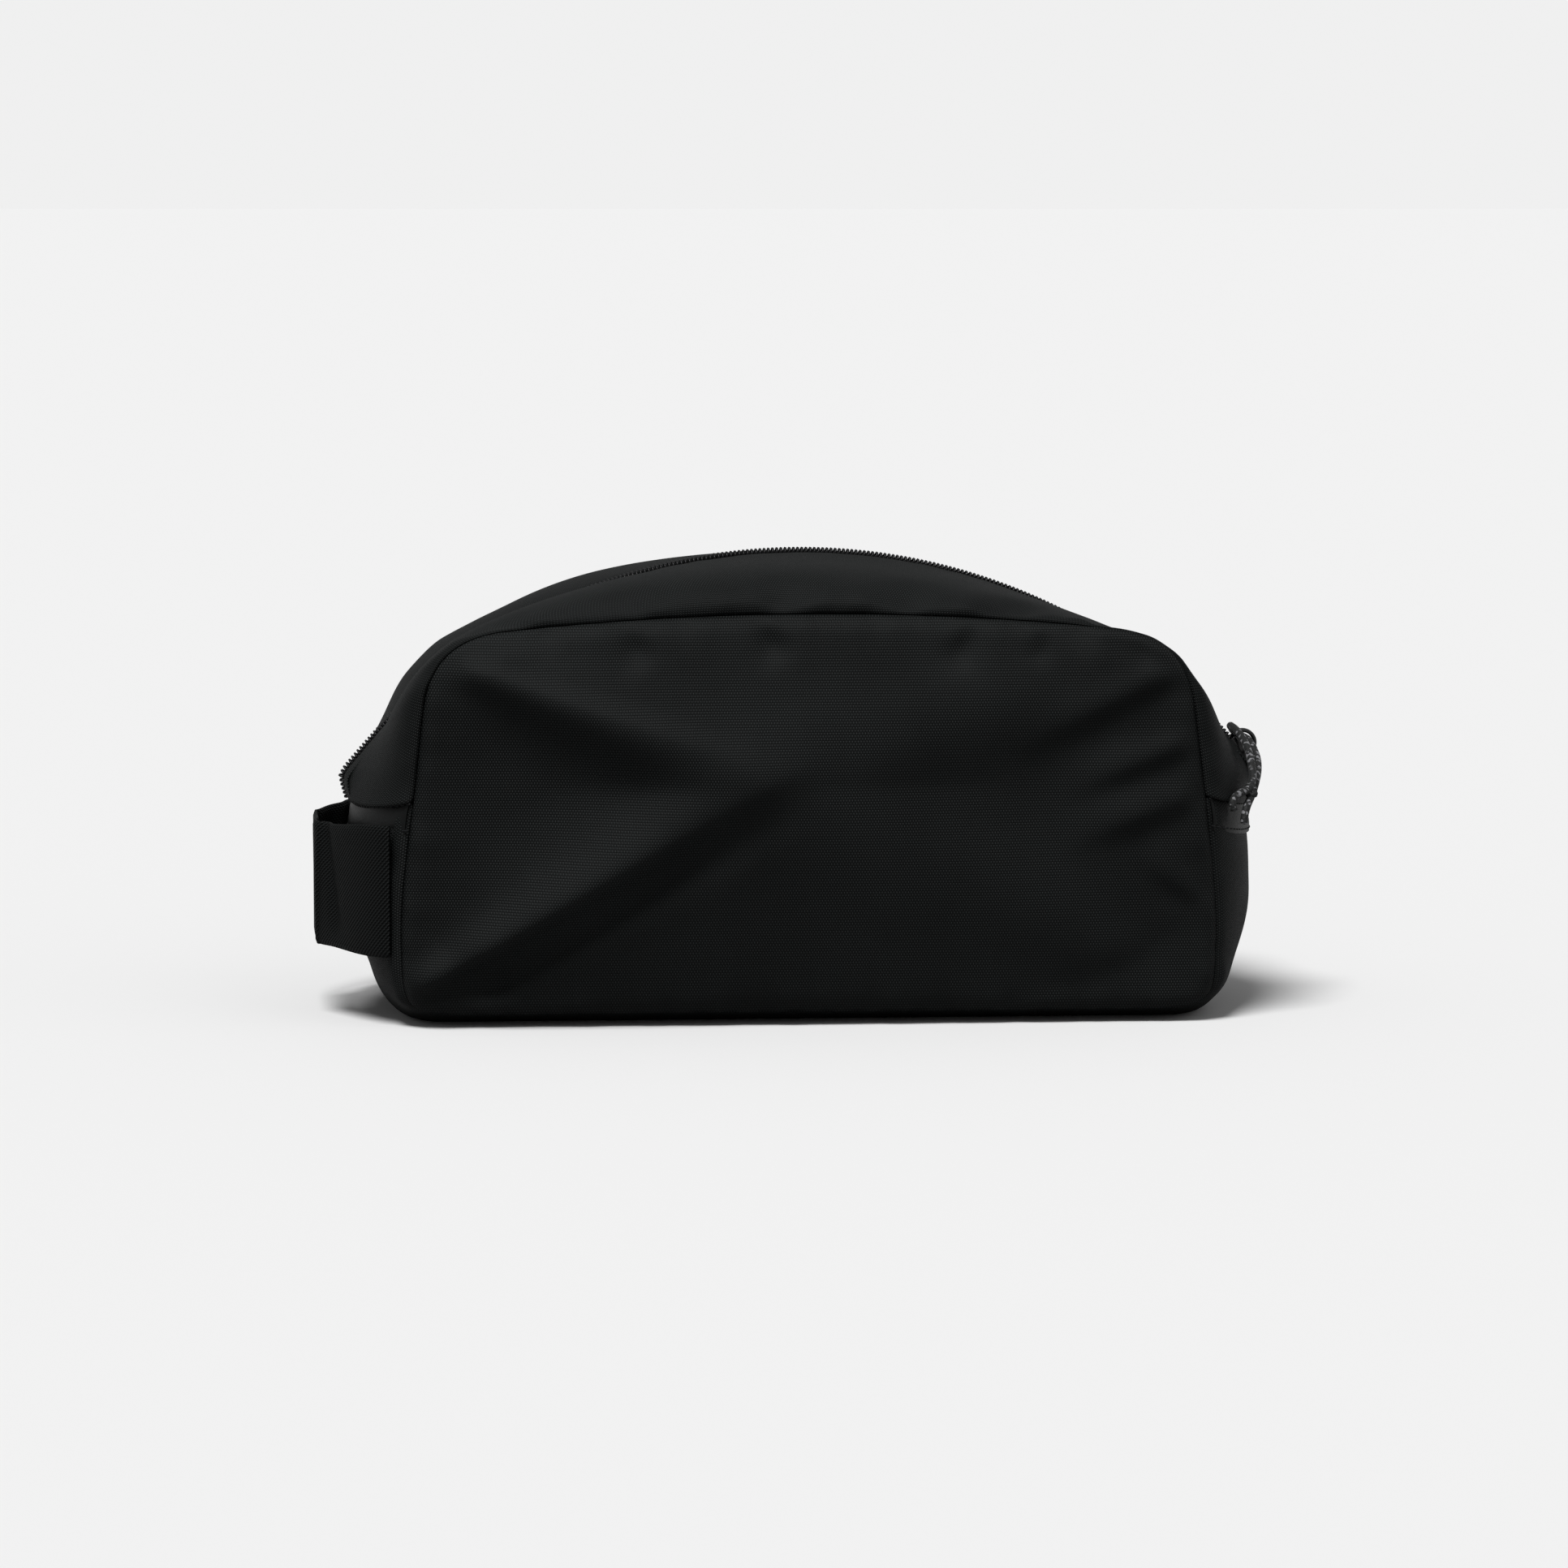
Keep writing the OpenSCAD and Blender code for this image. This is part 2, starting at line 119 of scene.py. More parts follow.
def slump(points):
    # the empty bag settles: its back shoulders drop and its left end and feet draw in a little
    setup = slumpSetup
    p = np.array(points, float)
    x, y, z = p.T.copy()

    def near(value, key):
        return np.exp(-((value - setup[key][0]) / setup[key][1]) ** 2)

    def past(value, key):
        return smooth((value - setup[key][0]) / setup[key][1])

    drop = np.where(x > 0, setup["rightDrop"], setup["leftDrop"])
    p[:, 2] -= drop * smooth(y / setup["back"]) * (near(np.abs(x), "shoulder") * past(z, "above"))
    p[:, 0] += setup["leftIn"] * past(-x, "leftEnd") * near(z, "leftHeight")
    p[:, 0] -= np.sign(x) * setup["footIn"] * past(np.abs(x), "footEnd") * near(z, "footHeight")
    return p


def makePiece(name, points, faces, material=None, uvs=None, shadeSmooth=True):
    # points in millimetres; uvs is one (u, v) in metres for each point
    mesh = bpy.data.meshes.new(name)
    mesh.from_pydata((np.asarray(points, float) * mm).tolist(), [], [list(map(int, f)) for f in faces])
    if uvs is not None:
        layer = mesh.uv_layers.new(name="cloth")
        loops = np.zeros(len(mesh.loops), int)
        mesh.loops.foreach_get("vertex_index", loops)
        layer.data.foreach_set("uv", np.asarray(uvs, float)[loops].ravel())
    if shadeSmooth:
        mesh.shade_smooth()
    if material:
        mesh.materials.append(material)
    piece = bpy.data.objects.new(name, mesh)
    scene.collection.objects.link(piece)
    return piece


def gridFaces(rows, cols, flip=False, wrapRows=False, wrapCols=False, start=0):
    faces = []
    for i in range(rows if wrapRows else rows - 1):
        for j in range(cols if wrapCols else cols - 1):
            a, b = i * cols + j, i * cols + (j + 1) % cols
            c, d = ((i + 1) % rows) * cols + (j + 1) % cols, ((i + 1) % rows) * cols + j
            faces.append([start + k for k in ((d, c, b, a) if flip else (a, b, c, d))])
    return faces


def pointOutwards(piece, inside):
    # turns the faces round where most of them look towards a point inside the bag
    bm = bmesh.new()
    bm.from_mesh(piece.data)
    facing = sum((f.normal.dot(f.calc_center_median() - Vector(inside))) * f.calc_area() for f in bm.faces)
    if facing < 0:
        bmesh.ops.reverse_faces(bm, faces=bm.faces[:])
    bm.to_mesh(piece.data)
    bm.free()


def sweepTube(line, radiusAt, sides, name, material):
    # a closed tube along a line; radiusAt(run, angle) gives its radius, both as arrays
    n = len(line)
    way = unitRows(np.gradient(line, axis=0))
    side = np.zeros_like(line)
    side[0] = np.cross(way[0], (0.3, 0.2, 1))
    side[0] /= np.linalg.norm(side[0])
    for i in range(1, n):
        s = side[i - 1] - way[i] * np.dot(side[i - 1], way[i])
        side[i] = s / np.linalg.norm(s)
    up = np.cross(way, side)
    run = runAlong(line)
    angle = np.arange(sides) * 2 * math.pi / sides
    radius = radiusAt(run[:, None], angle[None, :])
    points = (line[:, None] + side[:, None] * (np.cos(angle)[None, :, None] * radius[..., None])
              + up[:, None] * (np.sin(angle)[None, :, None] * radius[..., None])).reshape(-1, 3)
    faces = gridFaces(n, sides, wrapCols=True)
    points = np.vstack([points, line[0] - way[0] * radius[0].mean() * 0.35,
                        line[-1] + way[-1] * radius[-1].mean() * 0.35])
    first, last = n * sides, n * sides + 1
    faces += [[(k + 1) % sides, k, first] for k in range(sides)]
    faces += [[(n - 1) * sides + k, (n - 1) * sides + (k + 1) % sides, last] for k in range(sides)]
    piece = makePiece(name, points, faces, material)
    layer = piece.data.uv_layers.new(name="cloth")
    loops = np.zeros(len(piece.data.loops), int)
    piece.data.loops.foreach_get("vertex_index", loops)
    ring = np.minimum(loops // sides, n - 1)
    turn = (loops % sides) / sides
    # the last column of faces closes the turn, so its far corners read a full turn
    perFace = np.repeat(np.arange(len(piece.data.polygons)), [p.loop_total for p in piece.data.polygons])
    lastCol = (perFace < (n - 1) * sides) & (perFace % sides == sides - 1) & (loops % sides == 0)
    turn = np.where(lastCol, 1.0, turn)
    layer.data.foreach_set("uv", np.stack([run[ring] * mm, turn * mm], axis=1).ravel())
    recalcNormals(piece)
    return piece


def recalcNormals(piece):
    bm = bmesh.new()
    bm.from_mesh(piece.data)
    bmesh.ops.remove_doubles(bm, verts=bm.verts[:], dist=1e-7)
    bmesh.ops.recalc_face_normals(bm, faces=bm.faces[:])
    bm.to_mesh(piece.data)
    bm.free()


def addModifier(piece, kind, **values):
    modifier = piece.modifiers.new(kind.lower(), kind)
    for key, value in values.items():
        setattr(modifier, key, value)
    return modifier


# shader groups: each puts out colours, masks, values or normals only

def newGroup(name, inputs, outputs):
    group = bpy.data.node_groups.new(name, "ShaderNodeTree")
    for label, kind, value in inputs:
        socket = group.interface.new_socket(name=label, in_out="INPUT", socket_type=kind)
        if value is not None:
            socket.default_value = value
    for label, kind in outputs:
        group.interface.new_socket(name=label, in_out="OUTPUT", socket_type=kind)
    return group, group.nodes.new("NodeGroupInput"), group.nodes.new("NodeGroupOutput")


def mathNode(tree, operation, a, b=None, c=None):
    node = tree.nodes.new("ShaderNodeMath")
    node.operation = operation
    for k, value in enumerate((a, b, c)):
        if value is None:
            continue
        if isinstance(value, (int, float)):
            node.inputs[k].default_value = value
        else:
            tree.links.new(value, node.inputs[k])
    return node.outputs[0]


def splitVector(tree, vector):
    node = tree.nodes.new("ShaderNodeSeparateXYZ")
    tree.links.new(vector, node.inputs[0])
    return node.outputs[0], node.outputs[1], node.outputs[2]


def noiseNode(tree, vector, scale, detail=3.0, rough=0.5, stretch=None):
    if stretch:
        mapping = tree.nodes.new("ShaderNodeMapping")
        mapping.inputs["Scale"].default_value = stretch
        tree.links.new(vector, mapping.inputs[0])
        vector = mapping.outputs[0]
    node = tree.nodes.new("ShaderNodeTexNoise")
    node.inputs["Scale"].default_value = scale
    node.inputs["Detail"].default_value = detail
    node.inputs["Roughness"].default_value = rough
    tree.links.new(vector, node.inputs["Vector"])
    return node.outputs[0]


def rampNode(tree, value, low, high, lowOut=0.0, highOut=1.0):
    node = tree.nodes.new("ShaderNodeMapRange")
    for key, number in (("From Min", low), ("From Max", high), ("To Min", lowOut), ("To Max", highOut)):
        node.inputs[key].default_value = number
    tree.links.new(value, node.inputs["Value"])
    return node.outputs[0]


def plainWeaveGroup():
    # over-and-under threads: a checkerboard of small domes, every second one a little lower
    tree, entry, leave = newGroup("plainWeave",
                                  [("Cloth", "NodeSocketVector", None), ("Thread", "NodeSocketFloat", 0.000375),
                                   ("Weft", "NodeSocketFloat", 0.55), ("Tall", "NodeSocketFloat", 1.0)],
                                  [("Height", "NodeSocketFloat"), ("Top thread", "NodeSocketFloat")])
    u, v, _ = splitVector(tree, entry.outputs["Cloth"])
    turns = mathNode(tree, "DIVIDE", math.pi, entry.outputs["Thread"])
    across = mathNode(tree, "SINE", mathNode(tree, "MULTIPLY", u, turns))
    slower = mathNode(tree, "DIVIDE", turns, entry.outputs["Tall"])
    along = mathNode(tree, "SINE", mathNode(tree, "MULTIPLY", v, slower))
    wave = mathNode(tree, "MULTIPLY", across, along)
    over, under = (mathNode(tree, "POWER", mathNode(tree, "MAXIMUM", way, 0.0), 0.6)
                   for way in (wave, mathNode(tree, "MULTIPLY", wave, -1.0)))
    height = mathNode(tree, "MULTIPLY_ADD", under, entry.outputs["Weft"], over)
    tree.links.new(height, leave.inputs["Height"])
    tree.links.new(mathNode(tree, "GREATER_THAN", wave, 0.0), leave.inputs["Top thread"])
    return tree


def twillGroup():
    # slanting ribs across the webbing, which turn back at each band's edge
    tree, entry, leave = newGroup("chevronTwill",
                                  [("Cloth", "NodeSocketVector", None), ("Rib", "NodeSocketFloat", 0.0011),
                                   ("Band", "NodeSocketFloat", 0.02), ("Slope", "NodeSocketFloat", 1.2)],
                                  [("Height", "NodeSocketFloat")])
    u, v, _ = splitVector(tree, entry.outputs["Cloth"])
    fold = mathNode(tree, "PINGPONG", v, entry.outputs["Band"])
    slant = mathNode(tree, "MULTIPLY_ADD", fold, entry.outputs["Slope"], u)
    phase = mathNode(tree, "MULTIPLY", mathNode(tree, "DIVIDE", slant, entry.outputs["Rib"]), 2 * math.pi)
    rib = mathNode(tree, "MULTIPLY_ADD", mathNode(tree, "SINE", phase), 0.5, 0.5)
    threadPhase = mathNode(tree, "MULTIPLY", mathNode(tree, "DIVIDE", v, entry.outputs["Rib"]), 2 * math.pi * 1.9)
    thread = mathNode(tree, "MULTIPLY_ADD", mathNode(tree, "SINE", threadPhase), 0.5, 0.5)
    height = mathNode(tree, "MULTIPLY_ADD", thread, 0.3, mathNode(tree, "POWER", rib, 0.8))
    tree.links.new(height, leave.inputs["Height"])
    return tree


def wearGroup():
    # soft blotches of handling, fine dust and lint
    tree, entry, leave = newGroup("handling",
                                  [("Place", "NodeSocketVector", None), ("Blotch", "NodeSocketFloat", 22.0)],
                                  [("Rub", "NodeSocketFloat"), ("Dust", "NodeSocketFloat")])
    big = noiseNode(tree, entry.outputs["Place"], 1.0, 4, 0.55)
    tree.links.new(entry.outputs["Blotch"], big.node.inputs["Scale"])
    specks = noiseNode(tree, entry.outputs["Place"], 1500, 2, 0.6)
    tree.links.new(rampNode(tree, big, 0.35, 0.7), leave.inputs["Rub"])
    tree.links.new(rampNode(tree, specks, 0.72, 0.82), leave.inputs["Dust"])
    return tree


weave, twill, handling = plainWeaveGroup(), twillGroup(), wearGroup()


def startMaterial(name, **sockets):
    material = bpy.data.materials.new(name)
    material.use_nodes = True
    tree = material.node_tree
    shader = tree.nodes["Principled BSDF"]
    for key, value in sockets.items():
        shader.inputs[key.replace("_", " ")].default_value = value
    coords = tree.nodes.new("ShaderNodeTexCoord")
    return material, tree, shader, coords


def placeGroup(tree, group, vector, **values):
    node = tree.nodes.new("ShaderNodeGroup")
    node.node_tree = group
    tree.links.new(vector, node.inputs[0])
    for key, value in values.items():
        node.inputs[key].default_value = value
    return node


def mixColours(tree, factor, a, b):
    node = tree.nodes.new("ShaderNodeMix")
    node.data_type = "RGBA"
    for key, value in ((6, a), (7, b)):
        if isinstance(value, (tuple, list)):
            node.inputs[key].default_value = (*value, 1)
        else:
            tree.links.new(value, node.inputs[key])
    tree.links.new(factor, node.inputs[0])
    return node.outputs[2]


def addBump(tree, shader, height, strength, distance, under=None):
    node = tree.nodes.new("ShaderNodeBump")
    node.inputs["Strength"].default_value = strength
    node.inputs["Distance"].default_value = distance
    tree.links.new(height, node.inputs["Height"])
    if under is not None:
        tree.links.new(under, node.inputs["Normal"])
    tree.links.new(node.outputs[0], shader.inputs["Normal"])


def finish(tree, shader, colour, rough, bump):
    # rough is a value with its low, high and outputs; bump is a height with its strength and distance
    tree.links.new(colour, shader.inputs["Base Color"])
    tree.links.new(rampNode(tree, *rough), shader.inputs["Roughness"])
    addBump(tree, shader, *bump)


# thread is a yarn's width in metres, tall its length over its width, and weft the lower yarns' height
# in each cloth look, dark is painted shade between the threads and light is painted highlight on the thread tops
coatedLook = {"dark": (0.0006, 0.0008, 0.0008), "light": (0.038, 0.042, 0.042), "thread": 0.00043, "tall": 1.83,
              "weft": 0.3, "bump": 0.9, "depth": 0.00024, "roughness": (0.44, 0.58), "specular": 0.1,
              "dust": (0.022, 0.022, 0.023), "waves": 260, "waveBump": 0.12, "waveDepth": 0.0006}
smoothLook = dict(coatedLook, light=(0.014, 0.0155, 0.0155), thread=0.0003, tall=1.0, weft=0.55, bump=0.3,
                  depth=0.00008, roughness=(0.3, 0.46), specular=0.22)
liningLook = dict(coatedLook, dark=(0.01, 0.01, 0.011), light=(0.02, 0.02, 0.022), thread=0.00026, tall=1.0,
                  weft=0.8, bump=0.4, depth=0.00008, roughness=(0.5, 0.66), specular=0.15)
tapeLook = dict(coatedLook, dark=(0.0035, 0.0035, 0.0038), light=(0.009, 0.009, 0.0097), thread=0.0004, tall=1.0,
                weft=0.9, bump=0.6, depth=0.00015, roughness=(0.6, 0.75), specular=0.12)
bindingLook = dict(tapeLook, thread=0.0005, weft=0.3)


def clothMaterial(name, look):
    material, tree, shader, coords = startMaterial(name, Specular_IOR_Level=look["specular"])
    threads = placeGroup(tree, weave, coords.outputs["UV"], Thread=look["thread"], Weft=look["weft"],
                         Tall=look["tall"])
    worn = placeGroup(tree, handling, coords.outputs["Object"])
    # the colour follows the weave's height, from dark between the threads to light on their tops: painted shade in
    # the gaps and painted highlights on the thread tops, scaled by the rub blotches of handling
    paintedThreadShadeAndRub = mathNode(tree, "MULTIPLY", threads.outputs["Height"], rampNode(tree, worn.outputs["Rub"], 0, 1, 0.65, 1.0))
    colour = mixColours(tree, paintedThreadShadeAndRub, look["dark"], look["light"])
    dusty = mathNode(tree, "MULTIPLY", worn.outputs["Dust"], 0.3)
    tree.links.new(mixColours(tree, dusty, colour, look["dust"]), shader.inputs["Base Color"])
    rough = rampNode(tree, worn.outputs["Rub"], 0, 1, *look["roughness"])
    rough = mathNode(tree, "MULTIPLY_ADD", threads.outputs["Top thread"], -0.06, rough)
    tree.links.new(rough, shader.inputs["Roughness"])
    slow = noiseNode(tree, coords.outputs["Object"], look["waves"], 3, 0.6)
    wide = tree.nodes.new("ShaderNodeBump")
    wide.inputs["Strength"].default_value = look["waveBump"]
    wide.inputs["Distance"].default_value = look["waveDepth"]
    tree.links.new(slow, wide.inputs["Height"])
    addBump(tree, shader, threads.outputs["Height"], look["bump"], look["depth"], wide.outputs[0])
    return material


coatedCloth, smoothCloth, liningCloth, zipTapeCloth, bindingCloth = (
    clothMaterial(name, look) for name, look in (("coatedCloth", coatedLook), ("smoothCloth", smoothLook),
                                                 ("liningCloth", liningLook), ("zipTapeCloth", tapeLook),
                                                 ("bindingCloth", bindingLook)))

# dark is painted shade in the twill's grooves and light is painted highlight on its ribs
webbingLook = {"dark": (0.0005, 0.0006, 0.0006), "light": (0.013, 0.0145, 0.0145), "dust": (0.03, 0.03, 0.031),
               "rib": 0.0014, "band": 0.045, "slope": 1.0, "roughness": (0.42, 0.58), "bump": (1.0, 0.0005)}


def webbingMaterial(look):
    material, tree, shader, coords = startMaterial("webbingTwill", Specular_IOR_Level=0.1)
    ribs = placeGroup(tree, twill, coords.outputs["UV"], Rib=look["rib"], Band=look["band"], Slope=look["slope"])
    worn = placeGroup(tree, handling, coords.outputs["Object"], Blotch=40.0)
    # the colour follows the ribs' height: painted highlights on the ribs and painted shade in the grooves between
    # them
    colour = mixColours(tree, ribs.outputs["Height"], look["dark"], look["light"])
    colour = mixColours(tree, mathNode(tree, "MULTIPLY", worn.outputs["Dust"], 0.3), colour, look["dust"])
    finish(tree, shader, colour, (worn.outputs["Rub"], 0, 1, *look["roughness"]),
           (ribs.outputs["Height"], *look["bump"]))
    return material


# fibres and moulded nylon: one fine grain drives colour, roughness and bump
stitchLook = {"dark": (0.007, 0.007, 0.008), "light": (0.024, 0.024, 0.026), "grain": (4200, 2, 0.5),
              "roughness": (0.35, 0.55), "bump": (0.5, 0.0001), "specular": 0.15}
coilLook = {"dark": (0.006, 0.006, 0.0065), "light": (0.014, 0.014, 0.015), "grain": (900, 3, 0.6),
            "roughness": (0.28, 0.45), "bump": (0.15, 0.0001), "specular": 0.3}


def grainMaterial(name, look):
    material, tree, shader, coords = startMaterial(name, Specular_IOR_Level=look["specular"])
    grain = noiseNode(tree, coords.outputs["Object"], *look["grain"])
    finish(tree, shader, mixColours(tree, grain, look["dark"], look["light"]),
           (grain, 0.3, 0.7, *look["roughness"]), (grain, *look["bump"]))
    return material


enamelLook = {"dark": (0.004, 0.004, 0.0045), "worn": (0.03, 0.03, 0.032), "scuffs": (0.62, 0.8),
              "roughness": (0.16, 0.32), "bump": (0.08, 0.0001)}


def enamelMaterial(look):
    material, tree, shader, coords = startMaterial("blackEnamel", Specular_IOR_Level=0.6, Coat_Weight=0.6,
                                                   Coat_Roughness=0.06)
    worn = placeGroup(tree, handling, coords.outputs["Object"], Blotch=160.0)
    scuff = noiseNode(tree, coords.outputs["Object"], 700, 4, 0.7, stretch=(1, 1, 6))
    colour = mixColours(tree, rampNode(tree, scuff, *look["scuffs"]), look["dark"], look["worn"])
    finish(tree, shader, colour, (worn.outputs["Rub"], 0, 1, *look["roughness"]), (scuff, *look["bump"]))
    return material


cordLook = {"dark": (0.004, 0.0045, 0.0045), "light": (0.013, 0.014, 0.014), "fleck": (0.2, 0.2, 0.21),
            "flecks": (0.78, 0.83), "perMetre": 1150.0, "around": 8000.0, "roughness": (0.55, 0.75),
            "bump": (0.5, 0.00012)}


def cordMaterial(look):
    # braided yarns with a few pale ones that surface as flecks
    material, tree, shader, coords = startMaterial("braidedCord", Specular_IOR_Level=0.3, Sheen_Weight=0.08)
    run, turn, _ = splitVector(tree, coords.outputs["UV"])
    cross = tree.nodes.new("ShaderNodeCombineXYZ")
    tree.links.new(mathNode(tree, "MULTIPLY", run, look["perMetre"]), cross.inputs[0])
    tree.links.new(mathNode(tree, "MULTIPLY", turn, look["around"]), cross.inputs[1])
    cells = tree.nodes.new("ShaderNodeTexVoronoi")
    cells.inputs["Scale"].default_value = 1.0
    tree.links.new(cross.outputs[0], cells.inputs["Vector"])
    value = tree.nodes.new("ShaderNodeSeparateColor")
    tree.links.new(cells.outputs["Color"], value.inputs[0])
    pale = rampNode(tree, value.outputs[0], *look["flecks"])
    fibre = noiseNode(tree, coords.outputs["Object"], 3500, 2, 0.6)
    dark = mixColours(tree, fibre, look["dark"], look["light"])
    finish(tree, shader, mixColours(tree, pale, dark, look["fleck"]), (fibre, 0.3, 0.7, *look["roughness"]),
           (fibre, *look["bump"]))
    return material


webbingTwill = webbingMaterial(webbingLook)
stitchThread, nylonCoil = grainMaterial("stitchThread", stitchLook), grainMaterial("nylonCoil", coilLook)
blackEnamel, braidedCord = enamelMaterial(enamelLook), cordMaterial(cordLook)
print("materials made")

# pull cord: one braided length, tail to tail, through the knot and under the slider's bridge

pullSetup = {"diameter": 2.4, "knotAt": (133.2, -35.4, 67), "knotWide": 5.0, "knotTilt": (35, 50), "knotSlim": 0.82,
             "yarns": 4, "lay": 5.2, "relief": 0.07,
             "route": [(126.8, -45.6, 62.4), (126.4, -44.6, 65), (128.6, -41.6, 66.8), (131.6, -37.6, 67.6),
                       (133.2, -34.8, 68.4), (134.4, -31, 70.6), (134.8, -26, 73.4), (134.8, -20, 76.8),
                       (134.2, -13, 80), (133, -6, 82.4), (132.3, 0, 83.1), (132.6, 4.4, 82.8), (134, 7, 81.4),
                       (136, 6.4, 79.8), (136.8, 3, 79.4), (136.8, 0, 79.4), (136.8, -3, 79.4), (137.6, -8, 77.6),
                       (138.2, -13, 74.6), (137.6, -19, 71.8), (136, -26, 69), (134, -33, 66.2), (132.8, -36.8, 65),
                       (131.4, -40.2, 63.2), (130.4, -42.4, 60.8), (130, -43.4, 58.4)]}


def makePull(setup):
    line, length = splineThrough(setup["route"], 0.22)
    radius = setup["diameter"] / 2

    def braid(run, angle):
        # two sets of yarns wound opposite ways, each over and under the other
        lay, yarns, relief = 2 * math.pi * run / setup["lay"], setup["yarns"], setup["relief"]
        one, two = np.cos(yarns * angle + yarns * lay), np.cos(yarns * angle - yarns * lay)
        return radius * (1 - relief + relief * np.maximum(one, two))

    cord = sweepTube(line, braid, 24, "pullCord", braidedCord)
    t = np.linspace(0, 2 * math.pi, 120, endpoint=False)
    wind = np.stack([np.sin(t) + 2 * np.sin(2 * t), np.cos(t) - 2 * np.cos(2 * t), -1.25 * np.sin(3 * t)], axis=1)
    wind *= (setup["knotWide"] - setup["diameter"] * 0.8) / 2 / 2.6
    tiltX, tiltY = (math.radians(angle) for angle in setup["knotTilt"])
    tilt = np.array(Matrix.Rotation(tiltX, 3, "X") @ Matrix.Rotation(tiltY, 3, "Y"))
    loop = wind @ tilt.T + np.array(setup["knotAt"])
    loop = np.vstack([loop, loop[:1]])
    knot = sweepTube(loop, lambda r, a: braid(r, a) * setup["knotSlim"], 16, "pullKnot", braidedCord)
    for piece in (cord, knot):
        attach(piece, "pull")
    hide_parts("pull_cord")
    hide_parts("pull_knot")
    print("pull cord", round(length, 1), "mm")


makePull(pullSetup)

# outlines of the bag, in millimetres, from the same sizes as its construction

bagSetup = {"halfDepth": 50, "arcHeight": -41.2786, "arcRadius": 177.279,
            "seamAt": 2.65, "core": 50,
            "even": [(0, -3), (127, -3), (143, 51.7), (119, 112), (58.5, 136), (0, 136)],
            "right": [(0, -3), (127, -3), (143, 51.7), (116, 104.5), (54, 133), (0, 135)],
            "left": [(0, -3), (127, -3), (143, 51.7), (117, 109), (60, 136.5), (0, 135)],
            "bagJoin": [0.86, 0.3, 0.65, 0.35, 1],
            "panel": [(0, 4), (123, 4), (119.5, 54.4), (111, 115), (44.9, 122), (0, 122)],
            "panelJoin": [0.86, 0.25, 0.68, 0.32, 1]}


def alongOutline(ctrl, join, u):
    u = np.atleast_1d(np.asarray(u, float))
    ctrl, join = np.array(ctrl, float), np.array(join, float)[:, None]
    place = np.abs(u)
    i = np.minimum(np.floor(place).astype(int), 4)
    t = (place - i)[:, None]
    joins = ctrl[:-1] + (ctrl[1:] - ctrl[:-1]) * join
    first, last = np.vstack([ctrl[:1], joins])[i], joins[i]
    middle = np.where(i[:, None] == 0, (first + last) / 2, ctrl[i])
    p = (1 - t) ** 2 * first + 2 * t * (1 - t) * middle + t * t * last
    p[:, 0] *= np.where(u < 0, -1, 1)
    return p


def bagLine(u):
    u = np.atleast_1d(np.asarray(u, float))
    left = alongOutline(bagSetup["left"], bagSetup["bagJoin"], u)
    right = alongOutline(bagSetup["right"], bagSetup["bagJoin"], u)
    return np.where(u[:, None] < 0, left, right)


def panelLine(u):
    return alongOutline(bagSetup["panel"], bagSetup["panelJoin"], u)


def zipLine(u):
    # the zip's arc, with the rays from the core that pair it with the outline beside it
    cadLine = alongOutline(bagSetup["even"], bagSetup["bagJoin"], u)
    core = np.array([0, bagSetup["core"]])
    ray = unitRows(cadLine - core)
    gap = bagSetup["core"] - bagSetup["arcHeight"]
    up = gap * ray[:, 1]
    toArc = -up + np.sqrt(up ** 2 - gap ** 2 + bagSetup["arcRadius"] ** 2)
    settle = np.clip((np.abs(np.atleast_1d(u)) - bagSetup["seamAt"]) / 0.08, 0, 1)
    toEdge = np.linalg.norm(cadLine - core, axis=1) + mix(0.5, 4.0, settle)
    return core + ray * np.minimum(toArc, toEdge)[:, None]


def zipOut(u):
    u = np.atleast_1d(np.asarray(u, float))
    way = unitRows(zipLine(u + 0.01) - zipLine(u - 0.01))
    out = np.stack([-way[:, 1], way[:, 0]], axis=1)
    flip = (out * (zipLine(u) - np.array([0, bagSetup["core"]]))).sum(axis=1) < 0
    return np.where(flip[:, None], -out, out)


def lift(flat, y):
    return np.stack([flat[:, 0], np.broadcast_to(y, flat[:, 0].shape), flat[:, 1]], axis=1)


def evenPlaces(lineAt, start, end, cells):
    # places along an outline that split the stretch into equal lengths
    u = np.linspace(start, end, 400)
    run = runAlong(lineAt(u))
    return np.interp(np.linspace(0, run[-1], cells + 1), run, u)


gridCells = {"ends": 52, "lowSide": 26, "highSide": 21, "strip": 22, "gusset": 46}


def roundPlaces():
    # right half of the seam: base, lower side, upper side and top, each with its own cells
    base = evenPlaces(panelLine, 0, 1.5, gridCells["ends"])
    low = evenPlaces(panelLine, 1.5, bagSetup["seamAt"], gridCells["lowSide"])
    high = evenPlaces(panelLine, bagSetup["seamAt"], 3.5, gridCells["highSide"])
    top = evenPlaces(panelLine, 3.5, 5, gridCells["ends"])
    return base, low, high, top


basePlaces, lowPlaces, highPlaces, topPlaces = roundPlaces()
gussetPlaces = np.concatenate([-lowPlaces[::-1], -basePlaces[::-1][1:], basePlaces[1:], lowPlaces[1:]])
stripPlaces = np.concatenate([highPlaces, topPlaces[1:], -topPlaces[::-1][1:], -highPlaces[::-1][1:]])

# soft folds: each line is a start and an end on the panel, how wide and high it is and how one-sided

